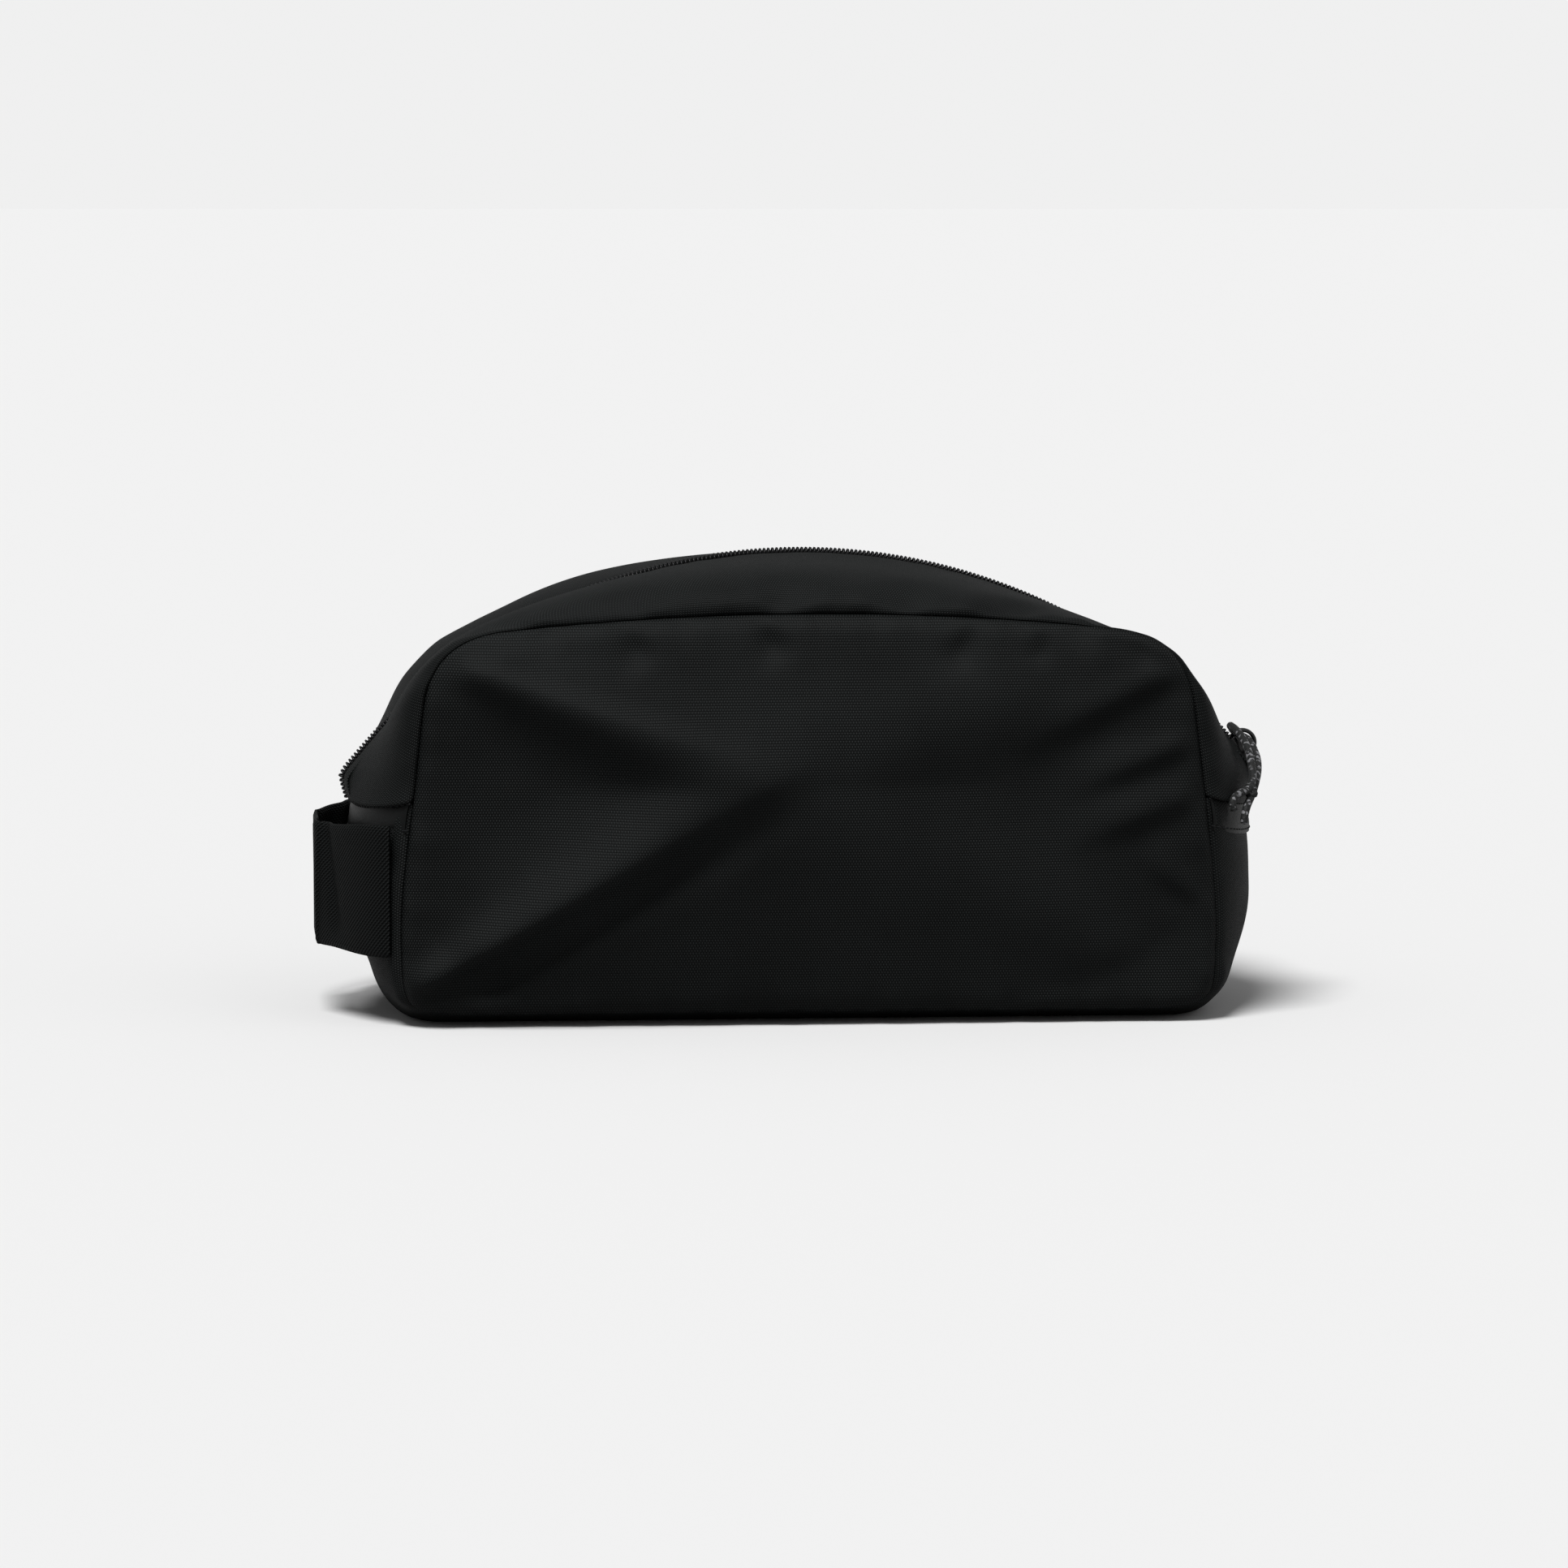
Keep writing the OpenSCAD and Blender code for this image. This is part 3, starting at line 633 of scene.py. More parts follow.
frontFolds = [
    {"from": (-122, 8), "to": (-16, 72), "wide": 11, "high": 2.6, "lean": 0.75},
    {"from": (-108, 3), "to": (-12, 62), "wide": 8, "high": -1.2, "lean": 0.4},
    {"from": (-108, 109), "to": (-16, 76), "wide": 11, "high": 1.8, "lean": -0.5},
    {"from": (114, 108), "to": (66, 86), "wide": 8, "high": 1.5, "lean": 0.5},
    {"from": (119, 86), "to": (80, 72), "wide": 7, "high": 1.3, "lean": 0.6},
    {"from": (122, 71), "to": (82, 57), "wide": 8, "high": 1.4, "lean": 0.6},
    {"from": (119, 34), "to": (100, 50), "wide": 6, "high": 0.9, "lean": 0.4},
    {"from": (-56, 121), "to": (-50, 108), "wide": 4, "high": -1.1, "lean": 0},
    {"from": (-16, 122), "to": (-10, 109), "wide": 4, "high": -1.2, "lean": 0},
    {"from": (48, 119), "to": (42, 107), "wide": 4, "high": -1.1, "lean": 0},
    {"from": (70, 117), "to": (66, 108), "wide": 3, "high": -0.7, "lean": 0}]
backFolds = [
    {"from": (-118, 104), "to": (20, 70), "wide": 12, "high": 2.0, "lean": 0.5},
    {"from": (120, 10), "to": (24, 64), "wide": 12, "high": 2.2, "lean": 0.6},
    {"from": (112, 108), "to": (40, 80), "wide": 9, "high": 1.5, "lean": -0.4},
    {"from": (-122, 30), "to": (-70, 52), "wide": 9, "high": 1.2, "lean": 0.3},
    {"from": (-40, 121), "to": (-36, 107), "wide": 4, "high": -1.1, "lean": 0},
    {"from": (30, 121), "to": (33, 108), "wide": 4, "high": -1.1, "lean": 0}]


def foldHeight(x, z, folds):
    total = np.zeros_like(x)
    for fold in folds:
        a, b = np.array(fold["from"], float), np.array(fold["to"], float)
        way = (b - a) / np.linalg.norm(b - a)
        along = ((x - a[0]) * way[0] + (z - a[1]) * way[1]) / np.linalg.norm(b - a)
        aside = -(x - a[0]) * way[1] + (z - a[1]) * way[0]
        if way[0] < 0:
            aside = -aside
        wide = fold["wide"] * (0.45 + 0.75 * np.clip(along, 0, 1))
        reach = np.clip((along + 0.06) / 0.2, 0, 1) * np.clip((1.25 - along) / 0.6, 0, 1)
        t = aside / wide
        steep = np.where(t < 0, 1 + 2.2 * max(fold["lean"], 0), 1 + 2.2 * max(-fold["lean"], 0))
        total += fold["high"] * smooth(reach) * np.exp(-(t * steep) ** 2)
    return total


panelShape = {"puff": 12.5, "middle": (-14, 72), "round": 4.2, "edge": 2.9, "pucker": 1.0, "folds": 2.1,
              "ridge": 2.3, "dip": 4.4, "halfLength": 120, "low": 4, "high": 122, "square": 3.2, "calm": 0.55}


def panelDepth(x, z, edge, folds):
    # how far the panel stands out of its seam; edge is the distance to the seam
    mx, mz = panelShape["middle"]
    halfX = np.where(x < mx, panelShape["halfLength"] + mx, panelShape["halfLength"] - mx)
    halfZ = np.where(z < mz, mz - panelShape["low"], panelShape["high"] - mz)
    ax, az = np.abs(x - mx) / halfX, np.abs(z - mz) / halfZ
    hip = (ax ** panelShape["square"] + az ** panelShape["square"]) ** (1 / panelShape["square"])
    roof = np.clip(1 - hip, 0, 1)
    puff = panelShape["puff"] * (0.75 * roof + 0.25 * (1 - (1 - roof) ** 2.4))
    # pulled at its corners, the cloth stands in ridges along the diagonals and sinks between them
    spread = (ax - az) / (0.14 + 0.3 * np.clip(1 - hip, 0, 1))
    strong = np.where(x < mx, 1.0, panelShape["calm"])
    ridge = panelShape["ridge"] * np.exp(-spread ** 2) * smooth(hip * 1.5) * smooth((1.02 - hip) / 0.12) * strong
    dip = panelShape["dip"] * smooth((ax - az) / 0.6) * smooth((1 - ax) / 0.35) * strong
    puff = puff + ridge - dip
    rounding = panelShape["edge"] * roundedEdge(edge, panelShape["round"])
    return puff * smooth(edge / 5) + rounding + panelShape["folds"] * foldHeight(x, z, folds) * smooth(edge / 9)


def puckers(run, edge, seed, depth, reach, spacing):
    # short waves square to a seam that die away from it
    rng = np.random.default_rng(seed)
    phase = rng.uniform(0, 2 * math.pi, 6)
    size = rng.uniform(0.4, 1, 6)
    wave = sum(size[k] * np.sin(2 * math.pi * run / (spacing * (0.6 + 0.28 * k)) + phase[k]) for k in range(6)) / 2.4
    return depth * wave * np.exp(-edge / reach) * smooth(edge / 1.2)


def panelGrid():
    # a grid over the panel whose edge lies on the seam, as fractions from its four sides
    bottom = np.vstack([panelLine(-basePlaces[::-1])[:-1], panelLine(basePlaces)])
    top = np.vstack([panelLine(-topPlaces), panelLine(topPlaces[::-1])[1:]])
    sidePlaces = np.concatenate([lowPlaces, highPlaces[1:]])
    left, right = panelLine(-sidePlaces), panelLine(sidePlaces)
    rows, cols = len(left), len(bottom)
    s = np.linspace(0, 1, cols)[None, :, None]
    t = np.linspace(0, 1, rows)[:, None, None]
    grid = (mix(bottom[None], top[None], t) + mix(left[:, None], right[:, None], s)
            - mix(mix(bottom[0], bottom[-1], s), mix(top[0], top[-1], s), t))
    return grid, rows, cols


def seamDistance(flat):
    line = panelLine(np.linspace(-5, 5, 1500))
    run = runAlong(line)
    chunk = 2000  # points at a time, to spare memory
    distance, near = np.zeros(len(flat)), np.zeros(len(flat), int)
    for start in range(0, len(flat), chunk):
        part = slice(start, start + chunk)
        d = np.linalg.norm(flat[part, None] - line[None], axis=2)
        near[part], distance[part] = d.argmin(axis=1), d.min(axis=1)
    return distance, run[near]


panelFlat, panelRows, panelCols = panelGrid()
panelEdge, panelRun = seamDistance(panelFlat.reshape(-1, 2))


def makePanel(name, side, folds, seed):
    flat = panelFlat.reshape(-1, 2)
    x, z = flat[:, 0], flat[:, 1]
    depth = panelDepth(x, z, panelEdge, folds) + puckers(panelRun, panelEdge, seed, panelShape["pucker"], 7, 17)
    y = side * (bagSetup["halfDepth"] + 0.2 + depth)
    points = slump(np.stack([x, y, z], axis=1))
    piece = makePiece(name, points, gridFaces(panelRows, panelCols), coatedCloth, np.stack([x, z], axis=1) * mm)
    pointOutwards(piece, (0, 0, 0.06))
    return piece


print("panels")
frontPanel = makePanel("frontPanel", -1, frontFolds, 3)
backPanel = makePanel("backPanel", 1, backFolds, 8)

# gusset: one grid for the lower strip, one for each top strip

gussetShape = {"puff": 1 / 3, "round": 3.6, "swell": 1.5, "fade": 28, "pucker": 0.9}


def bezier(a, b, c, d, t):
    return (1 - t) ** 3 * a + 3 * t * (1 - t) ** 2 * b + 3 * t * t * (1 - t) * c + t ** 3 * d


def clothRuns(points, rows, cols):
    grid = points.reshape(rows, cols, 3)
    steps = np.linalg.norm(np.diff(grid, axis=1), axis=2)
    across = np.concatenate([np.zeros((rows, 1)), np.cumsum(steps, axis=1)], axis=1)
    middle = grid[:, cols // 2]
    along = runAlong(middle)
    return np.stack([np.repeat(along, cols), across.ravel()], axis=1) * mm


def gridNormals(points, rows, cols):
    g = points.reshape(rows, cols, 3)
    du, dv = np.gradient(g, axis=0), np.gradient(g, axis=1)
    n = unitRows(np.cross(du, dv))
    away = (n * (g - np.array([0, 0, bagSetup["core"]]))).sum(axis=2, keepdims=True)
    return np.where(away < 0, -n, n).reshape(-1, 3)


def gussetPoints(places, v):
    # v runs from 0 at the front seam to 1 at the back one
    p, s = panelLine(places), bagLine(places)
    puff = s + (s - p) * gussetShape["puff"]
    half = bagSetup["halfDepth"]
    rows = [bezier(lift(p, -half), lift(puff, -0.62 * half), lift(puff, 0.62 * half), lift(p, half), t) for t in v]
    return np.stack(rows, axis=1).reshape(-1, 3)


def seamSwell(edge):
    # the cloth rolls up from a seam, so the seam lies in a groove
    return gussetShape["swell"] * roundedEdge(edge, gussetShape["round"]) * np.exp(-edge / gussetShape["fade"])


def makeLowerGusset():
    places = gussetPlaces
    rows, cols = len(places), gridCells["gusset"] + 1
    points = gussetPoints(places, np.linspace(0, 1, cols))
    normal = gridNormals(points, rows, cols)
    uv = clothRuns(points, rows, cols)
    run, across = uv[:, 0] / mm, uv[:, 1] / mm
    width = across.reshape(rows, cols)[:, -1].repeat(cols)
    edge = np.minimum(across, width - across)
    height = puckers(run + 400 * (across > width / 2), edge, 21, gussetShape["pucker"], 6, 15)
    # a soft slanting crease on each end, as the cloth slumps
    x, z = points[:, 0], points[:, 2]
    endFold = smooth((np.abs(x) - 112) / 12) * 1.3 * np.exp(-((z - 34 - 0.45 * points[:, 1]) / 9) ** 2)
    ends = smooth((z - 3) / 8)
    height = (height + endFold) * smooth(edge / 4) + seamSwell(edge)
    points = points + normal * (height * ends)[:, None]
    points[:, 2] = np.maximum(points[:, 2], 0.05)
    piece = makePiece("lowerGusset", slump(points), gridFaces(rows, cols), coatedCloth, uv)
    pointOutwards(piece, (0, 0, 0.05))
    return piece


stripShape = {"seamPuff": (0.62, 1.0), "zipPuff": (1.0, 1.0), "rise": 0.6, "gap": 6.2, "fold": 1.3}
topPuckers = {"front": [(-56, 9, 1.6), (-8, 8, 2.2), (27, 8, 2.0), (60, 8, 1.8), (88, 7, 1.4), (-92, 8, 1.3)],
              "back": [(-70, 9, 1.6), (-22, 8, 1.8), (34, 9, 2.0), (80, 8, 1.4)]}


def stripPoints(places, cols):
    p, s = panelLine(places), bagLine(places)
    along = np.clip((np.abs(places) - bagSetup["seamAt"]) / stripShape["rise"], 0, 1)[:, None]
    bySeam = mix(p, s, mix(*stripShape["seamPuff"], along))
    byZip = mix(p, s, mix(*stripShape["zipPuff"], along))
    edge = zipLine(places) + zipOut(places) * stripShape["fold"]
    half = bagSetup["halfDepth"]
    v = np.linspace(0, 1, cols)
    corners = lift(p, -half), lift(bySeam, -0.96 * half), lift(byZip, -0.42 * half), lift(edge, -stripShape["gap"])
    return np.stack([bezier(*corners, t) for t in v], axis=1)


def makeTopStrip(name, side):
    places = stripPlaces
    cols = gridCells["strip"] + 1
    grid = stripPoints(places, cols)
    rows = len(places)
    points = grid.reshape(-1, 3)
    normal = gridNormals(points, rows, cols)
    uv = clothRuns(points, rows, cols)
    run, edge = uv[:, 0] / mm, uv[:, 1] / mm
    width = edge.reshape(rows, cols)[:, -1].repeat(cols)
    height = puckers(run, edge, 33 if side < 0 else 47, gussetShape["pucker"], 6, 19)
    height += puckers(run, width - edge, 51 if side < 0 else 58, 0.35, 5, 11)
    for x0, wide, deep in topPuckers["front" if side < 0 else "back"]:
        over = smooth((points[:, 2] - 96) / 12)
        beside = np.exp(-((points[:, 0] - x0 - 0.35 * edge) / wide) ** 2)
        height -= deep * over * beside * np.exp(-((edge - 5) / 7) ** 2)
    height = height * smooth(edge / 3) + seamSwell(edge)
    points = points + normal * (height * smooth((width - edge) / 2))[:, None]
    # the edge by the zip is folded under: four more rows turn it in
    grid = points.reshape(rows, cols, 3)
    out, rim = lift(zipOut(places), 0), grid[:, -1]
    across = np.array([0, 1.0, 0])
    extra = [rim + across * 0.45 - out * 0.3, rim + across * 0.4 - out * 0.85, rim - across * 0.6 - out * 1.15,
             rim - across * 4.5 - out * 1.2 + (grid[:, -4] - rim) * 0.2]
    grid = np.concatenate([grid, np.stack(extra, axis=1)], axis=1)
    cols += len(extra)
    points = grid.reshape(-1, 3) * np.array([1, -side, 1])
    piece = makePiece(name, slump(points), gridFaces(rows, cols), coatedCloth, clothRuns(points, rows, cols))
    pointOutwards(piece, (0, 0, 0.05))
    return piece


print("gusset")
lowerGusset = makeLowerGusset()
frontStrip = makeTopStrip("frontTopStrip", -1)
backStrip = makeTopStrip("backTopStrip", 1)


clothSetup = {"thick": 0.5, "levels": 1}


def dressCloth(piece):
    addModifier(piece, "SUBSURF", levels=clothSetup["levels"], render_levels=clothSetup["levels"])
    addModifier(piece, "SOLIDIFY", thickness=clothSetup["thick"] * mm, offset=-1)


def openWith(piece):
    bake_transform(piece)


for piece, node, body in ((frontPanel, "front_panel", "front_side"), (backPanel, "back_panel", "back_side"),
                          (frontStrip, "front_top_strip", "front_side"), (backStrip, "back_top_strip", "back_side"),
                          (lowerGusset, "lower_gusset", "base")):
    dressCloth(piece)
    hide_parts(node)
    if body == "base":
        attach(piece, body)
    else:
        openWith(piece)

# what repeats is laid along a line by a node tree: stitches and the turns of the zip's coil

def rowTree(name, shape):
    tree = bpy.data.node_groups.new(name, "GeometryNodeTree")
    wanted = [("Geometry", "Geometry", None), ("Pitch", "Float", 0.0015), ("Length", "Float", 0.001),
              ("Width", "Float", 0.0004), ("Height", "Float", 0.0004), ("Yarn", "Float", 0.0002),
              ("Slant", "Float", 0.0), ("Loose", "Float", 0.1), ("Seed", "Int", 1), ("Material", "Material", None)]
    for label, kind, value in wanted:
        socket = tree.interface.new_socket(name=label, in_out="INPUT", socket_type="NodeSocket" + kind)
        if value is not None:
            socket.default_value = value
    tree.interface.new_socket(name="Geometry", in_out="OUTPUT", socket_type="NodeSocketGeometry")
    add, link = tree.nodes.new, tree.links.new
    entry, leave = add("NodeGroupInput"), add("NodeGroupOutput")
    curve = add("GeometryNodeMeshToCurve")
    link(entry.outputs["Geometry"], curve.inputs["Mesh"])
    even = add("GeometryNodeResampleCurve")
    even.mode = "LENGTH"
    link(curve.outputs[0], even.inputs["Curve"])
    link(entry.outputs["Pitch"], even.inputs["Length"])
    along = add("GeometryNodeInputTangent")
    up = add("GeometryNodeInputNamedAttribute")
    up.data_type = "FLOAT_VECTOR"
    up.inputs["Name"].default_value = "up"
    turnX = add("FunctionNodeAlignRotationToVector")
    turnX.axis = "X"
    link(along.outputs[0], turnX.inputs["Vector"])
    turnZ = add("FunctionNodeAlignRotationToVector")
    turnZ.axis, turnZ.pivot_axis = "Z", "X"
    link(turnX.outputs[0], turnZ.inputs["Rotation"])
    link(up.outputs[0], turnZ.inputs["Vector"])
    size = add("ShaderNodeCombineXYZ")
    if shape == "stitch":
        item = add("GeometryNodeMeshUVSphere")
        item.inputs["Segments"].default_value = 6
        item.inputs["Rings"].default_value = 5
        item.inputs["Radius"].default_value = 0.5
        shown = item.outputs[0]
        for k, label in enumerate(("Length", "Width", "Height")):
            link(entry.outputs[label], size.inputs[k])
    else:
        # one turn of the coil: an oval loop of nylon, standing across the zip
        ring = add("GeometryNodeCurvePrimitiveCircle")
        ring.inputs["Resolution"].default_value = 10
        ring.inputs["Radius"].default_value = 0.5
        stand = add("GeometryNodeTransform")
        stand.inputs["Rotation"].default_value = (math.radians(90), 0, math.radians(90))
        link(ring.outputs[0], stand.inputs["Geometry"])
        oval = add("GeometryNodeTransform")
        ovalSize = add("ShaderNodeCombineXYZ")
        ovalSize.inputs[0].default_value = 1
        link(entry.outputs["Width"], ovalSize.inputs[1])
        link(entry.outputs["Height"], ovalSize.inputs[2])
        link(stand.outputs[0], oval.inputs["Geometry"])
        link(ovalSize.outputs[0], oval.inputs["Scale"])
        yarn = add("GeometryNodeCurvePrimitiveCircle")
        yarn.inputs["Resolution"].default_value = 5
        link(entry.outputs["Yarn"], yarn.inputs["Radius"])
        solid = add("GeometryNodeCurveToMesh")
        link(oval.outputs[0], solid.inputs["Curve"])
        link(yarn.outputs[0], solid.inputs["Profile Curve"])
        lean = add("GeometryNodeTransform")
        leanTurn = add("ShaderNodeCombineXYZ")
        link(entry.outputs["Slant"], leanTurn.inputs[2])
        link(solid.outputs[0], lean.inputs["Geometry"])
        link(leanTurn.outputs[0], lean.inputs["Rotation"])
        shown = lean.outputs[0]
        for k in range(3):
            size.inputs[k].default_value = 1
    vary = add("FunctionNodeRandomValue")
    vary.data_type = "FLOAT_VECTOR"
    link(entry.outputs["Seed"], vary.inputs["Seed"])
    spread = add("ShaderNodeVectorMath")
    spread.operation = "SCALE"
    link(vary.outputs[0], spread.inputs[0])
    link(entry.outputs["Loose"], spread.inputs["Scale"])
    grown = add("ShaderNodeVectorMath")
    grown.operation = "MULTIPLY_ADD"
    link(spread.outputs[0], grown.inputs[0])
    link(size.outputs[0], grown.inputs[1])
    link(size.outputs[0], grown.inputs[2])
    place = add("GeometryNodeInstanceOnPoints")
    link(even.outputs[0], place.inputs["Points"])
    link(shown, place.inputs["Instance"])
    link(turnZ.outputs[0], place.inputs["Rotation"])
    link(grown.outputs[0], place.inputs["Scale"])
    real = add("GeometryNodeRealizeInstances")
    link(place.outputs[0], real.inputs[0])
    shaded = add("GeometryNodeSetShadeSmooth")
    link(real.outputs[0], shaded.inputs[0])
    paint = add("GeometryNodeSetMaterial")
    link(shaded.outputs[0], paint.inputs["Geometry"])
    link(entry.outputs["Material"], paint.inputs["Material"])
    link(paint.outputs[0], leave.inputs[0])
    return tree


stitchRow, coilRow = rowTree("stitchRow", "stitch"), rowTree("coilRow", "coil")


def layRow(name, lines, ups, tree, material, slot, **values):
    # lines and ups are lists of point rows in millimetres and their outward directions
    points, edges, facing = [], [], []
    for line, up in zip(lines, ups):
        start = len(points)
        points += (slump(line) * mm).tolist()
        facing += np.asarray(up).tolist()
        edges += [(start + k, start + k + 1) for k in range(len(line) - 1)]
    guide = bpy.data.meshes.new(name + "Path")
    guide.from_pydata(points, edges, [])
    guide.attributes.new("up", "FLOAT_VECTOR", "POINT").data.foreach_set("vector", np.array(facing, float).ravel())
    path = bpy.data.objects.new(name + "Path", guide)
    scene.collection.objects.link(path)
    modifier = path.modifiers.new("row", "NODES")
    modifier.node_group = tree
    sockets = {item.name: item.identifier for item in tree.interface.items_tree if item.in_out == "INPUT"}
    for key, value in values.items():
        modifier[sockets[key]] = value
    modifier[sockets["Material"]] = material
    bpy.context.view_layer.update()
    made = bpy.data.meshes.new_from_object(path.evaluated_get(bpy.context.evaluated_depsgraph_get()))
    bpy.data.objects.remove(path)
    piece = bpy.data.objects.new(name, made)
    piece.data.name = name
    scene.collection.objects.link(piece)
    return piece


stitchSizes = {"Pitch": 0.0026, "Length": 0.0021, "Width": 0.00048, "Height": 0.00042, "Loose": 0.12}


def shellBetween(outer, inner, rows, cols, wrap=False):
    # closed shell from two grids of points
    count = rows * cols
    faces = gridFaces(rows, cols, wrapRows=wrap) + gridFaces(rows, cols, wrapRows=wrap, flip=True, start=count)
    last = rows if wrap else rows - 1
    for i in range(last):
        a, b = i * cols, ((i + 1) % rows) * cols
        faces.append((a, a + count, b + count, b))
        a, b = a + cols - 1, b + cols - 1
        faces.append((a, b, b + count, a + count))
    if not wrap:
        for j in range(cols - 1):
            faces.append((j, j + 1, j + 1 + count, j + count))
            k = (rows - 1) * cols + j
            faces.append((k, k + count, k + 1 + count, k + 1))
    return np.vstack([outer.reshape(-1, 3), inner.reshape(-1, 3)]), faces


def makeShell(name, outer, inner, rows, cols, material, slot, node, uv, wrap=False, bevel=0.0):
    points, faces = shellBetween(outer, inner, rows, cols, wrap)
    piece = makePiece(name, points if slot == "webbing" else slump(points), faces, material, np.vstack([uv, uv]))
    recalcNormals(piece)
    if bevel:
        addModifier(piece, "BEVEL", width=bevel * mm, segments=2, limit_method="ANGLE", angle_limit=math.radians(50))
    if node:
        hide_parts(node)
    return piece


# linings follow the cloth outside them, a little looser

liningSetup = {"behind": 1.7, "gussetBehind": 2.5, "stripBehind": 2.7, "thick": 0.4, "inset": 0.972,
               "slack": 0.5, "share": 0.97}


def makePanelLining(name, side, folds, seed, node):
    setup = liningSetup
    centre = np.array([0, 63.0])
    flat = centre + (panelFlat.reshape(-1, 2) - centre) * setup["inset"]
    edge = panelEdge * setup["inset"]
    depth = panelDepth(flat[:, 0], flat[:, 1], edge, folds) * setup["share"]
    depth = depth + puckers(panelRun, edge, seed, setup["slack"], 12, 23)
    grids = [lift(flat, side * (bagSetup["halfDepth"] - setup["behind"] - more + depth))
             for more in (0, setup["thick"])]
    piece = makeShell(name, *grids, panelRows, panelCols, liningCloth, "lining", node, flat * mm)
    openWith(piece)


def makeGussetLining():
    setup = liningSetup
    places = gussetPlaces[::2]
    rows, cols = len(places), 25
    points = gussetPoints(places, np.linspace(0.035, 0.965, cols))
    points[:, 2] = np.maximum(points[:, 2], 0.05)
    normal = gridNormals(points, rows, cols)
    uv = clothRuns(points, rows, cols)
    wave = np.sin(uv[:, 0] / mm / 7.5 + 3 * np.sin(uv[:, 1] / mm / 17))
    loose = setup["slack"] * 0.7 * wave * smooth((points[:, 2] - 6) / 10)
    grids = [points - normal * (setup["gussetBehind"] + more + loose)[:, None] for more in (0, setup["thick"])]
    piece = makeShell("gussetLining", *grids, rows, cols, liningCloth, "lining", "gusset_lining", uv)
    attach(piece, "base")


def makeStripLining(name, side, node):
    setup = liningSetup
    places = stripPlaces[::2]
    cols = gridCells["strip"] + 1
    grid = stripPoints(places, cols)
    rows = len(places)
    normal = gridNormals(grid.reshape(-1, 3), rows, cols).reshape(rows, cols, 3)
    keep = slice(2, 16)
    grid, normal = grid[:, keep], normal[:, keep]
    cols = grid.shape[1]
    uv = clothRuns(grid.reshape(-1, 3), rows, cols)
    loose = setup["slack"] * np.sin(uv[:, 0] / mm / 8 + 2 * np.sin(uv[:, 1] / mm / 9)).reshape(rows, cols, 1)
    flip = np.array([1, -side, 1])
    grids = [((grid - normal * (setup["stripBehind"] + more + loose)) * flip).reshape(-1, 3)
             for more in (0, setup["thick"])]
    piece = makeShell(name, *grids, rows, cols, liningCloth, "lining", node, uv)
    openWith(piece)


print("linings")
makePanelLining("frontLining", -1, frontFolds, 61, "front_lining")
makePanelLining("backLining", 1, backFolds, 67, "back_lining")
makeGussetLining()
makeStripLining("frontStripLining", -1, "front_strip_lining")
makeStripLining("backStripLining", 1, "back_strip_lining")

# binding tape over the seams inside

bindingSetup = {"inset": 4.2, "from": 43.9, "to": 48.7, "thick": 0.9, "ripple": 0.25}


def makeBinding(name, side, node):
    setup = bindingSetup
    u = np.concatenate([basePlaces, lowPlaces[1:], highPlaces[1:], topPlaces[1:]])
    u = np.concatenate([u, -u[::-1][1:-1]])
    line = panelLine(u)
    inward = unitRows(np.array([0, bagSetup["core"]]) - line)
    rows, cols = len(u), 5
    y = np.linspace(setup["from"], setup["to"], cols)
    run = runAlong(line)
    wave = setup["ripple"] * np.sin(run / 3.1 + 2 * np.sin(run / 19))[:, None]
    grids = []
    for more in (0, setup["thick"]):
        ripple = wave[:, :, None] * np.linspace(1, 0, cols)[None, :, None]
        flat = (line[:, None] + inward[:, None] * (setup["inset"] + more + ripple)).reshape(-1, 2)
        grids.append(lift(flat, np.tile(side * y, rows)))
    uv = np.stack([np.repeat(run, cols), np.tile(y, rows)], axis=1) * mm
    piece = makeShell(name, *grids, rows, cols, bindingCloth, "binding_tape", node, uv, wrap=True, bevel=0.25)
    openWith(piece)
    flat = line + inward * (setup["inset"] + setup["thick"] + 0.15)
    path = lift(flat, side * (setup["from"] + 1.1))
    path = np.vstack([path, path[:1]])
    up = lift(inward, 0)
    stitches = layRow(name + "Stitches", [path], [np.vstack([up, up[:1]])], stitchRow, stitchThread, "binding_tape",
                      Seed=5, **dict(stitchSizes, Pitch=0.0032))
    openWith(stitches)


makeBinding("frontBinding", -1, "front_seam_binding")
makeBinding("backBinding", 1, "back_seam_binding")

# zip: woven tape and nylon coil

zipSetup = {"tape": 0.7, "tapeGap": 0.7, "coilWide": 2.75, "coilHigh": 1.75, "yarn": 0.00036, "pitch": 0.00126,
            "teethFrom": 0.55, "tapeAt": (1.8, 3.1, 4.6, 6.2, 9.0, 12.5), "strip": 6.2, "under": 2.0, "most": 5.0}


def crownPlaces(cells):
    half = evenPlaces(zipLine, bagSetup["seamAt"] + 0.012, 5, cells)
    return np.concatenate([half, -half[::-1][1:]])


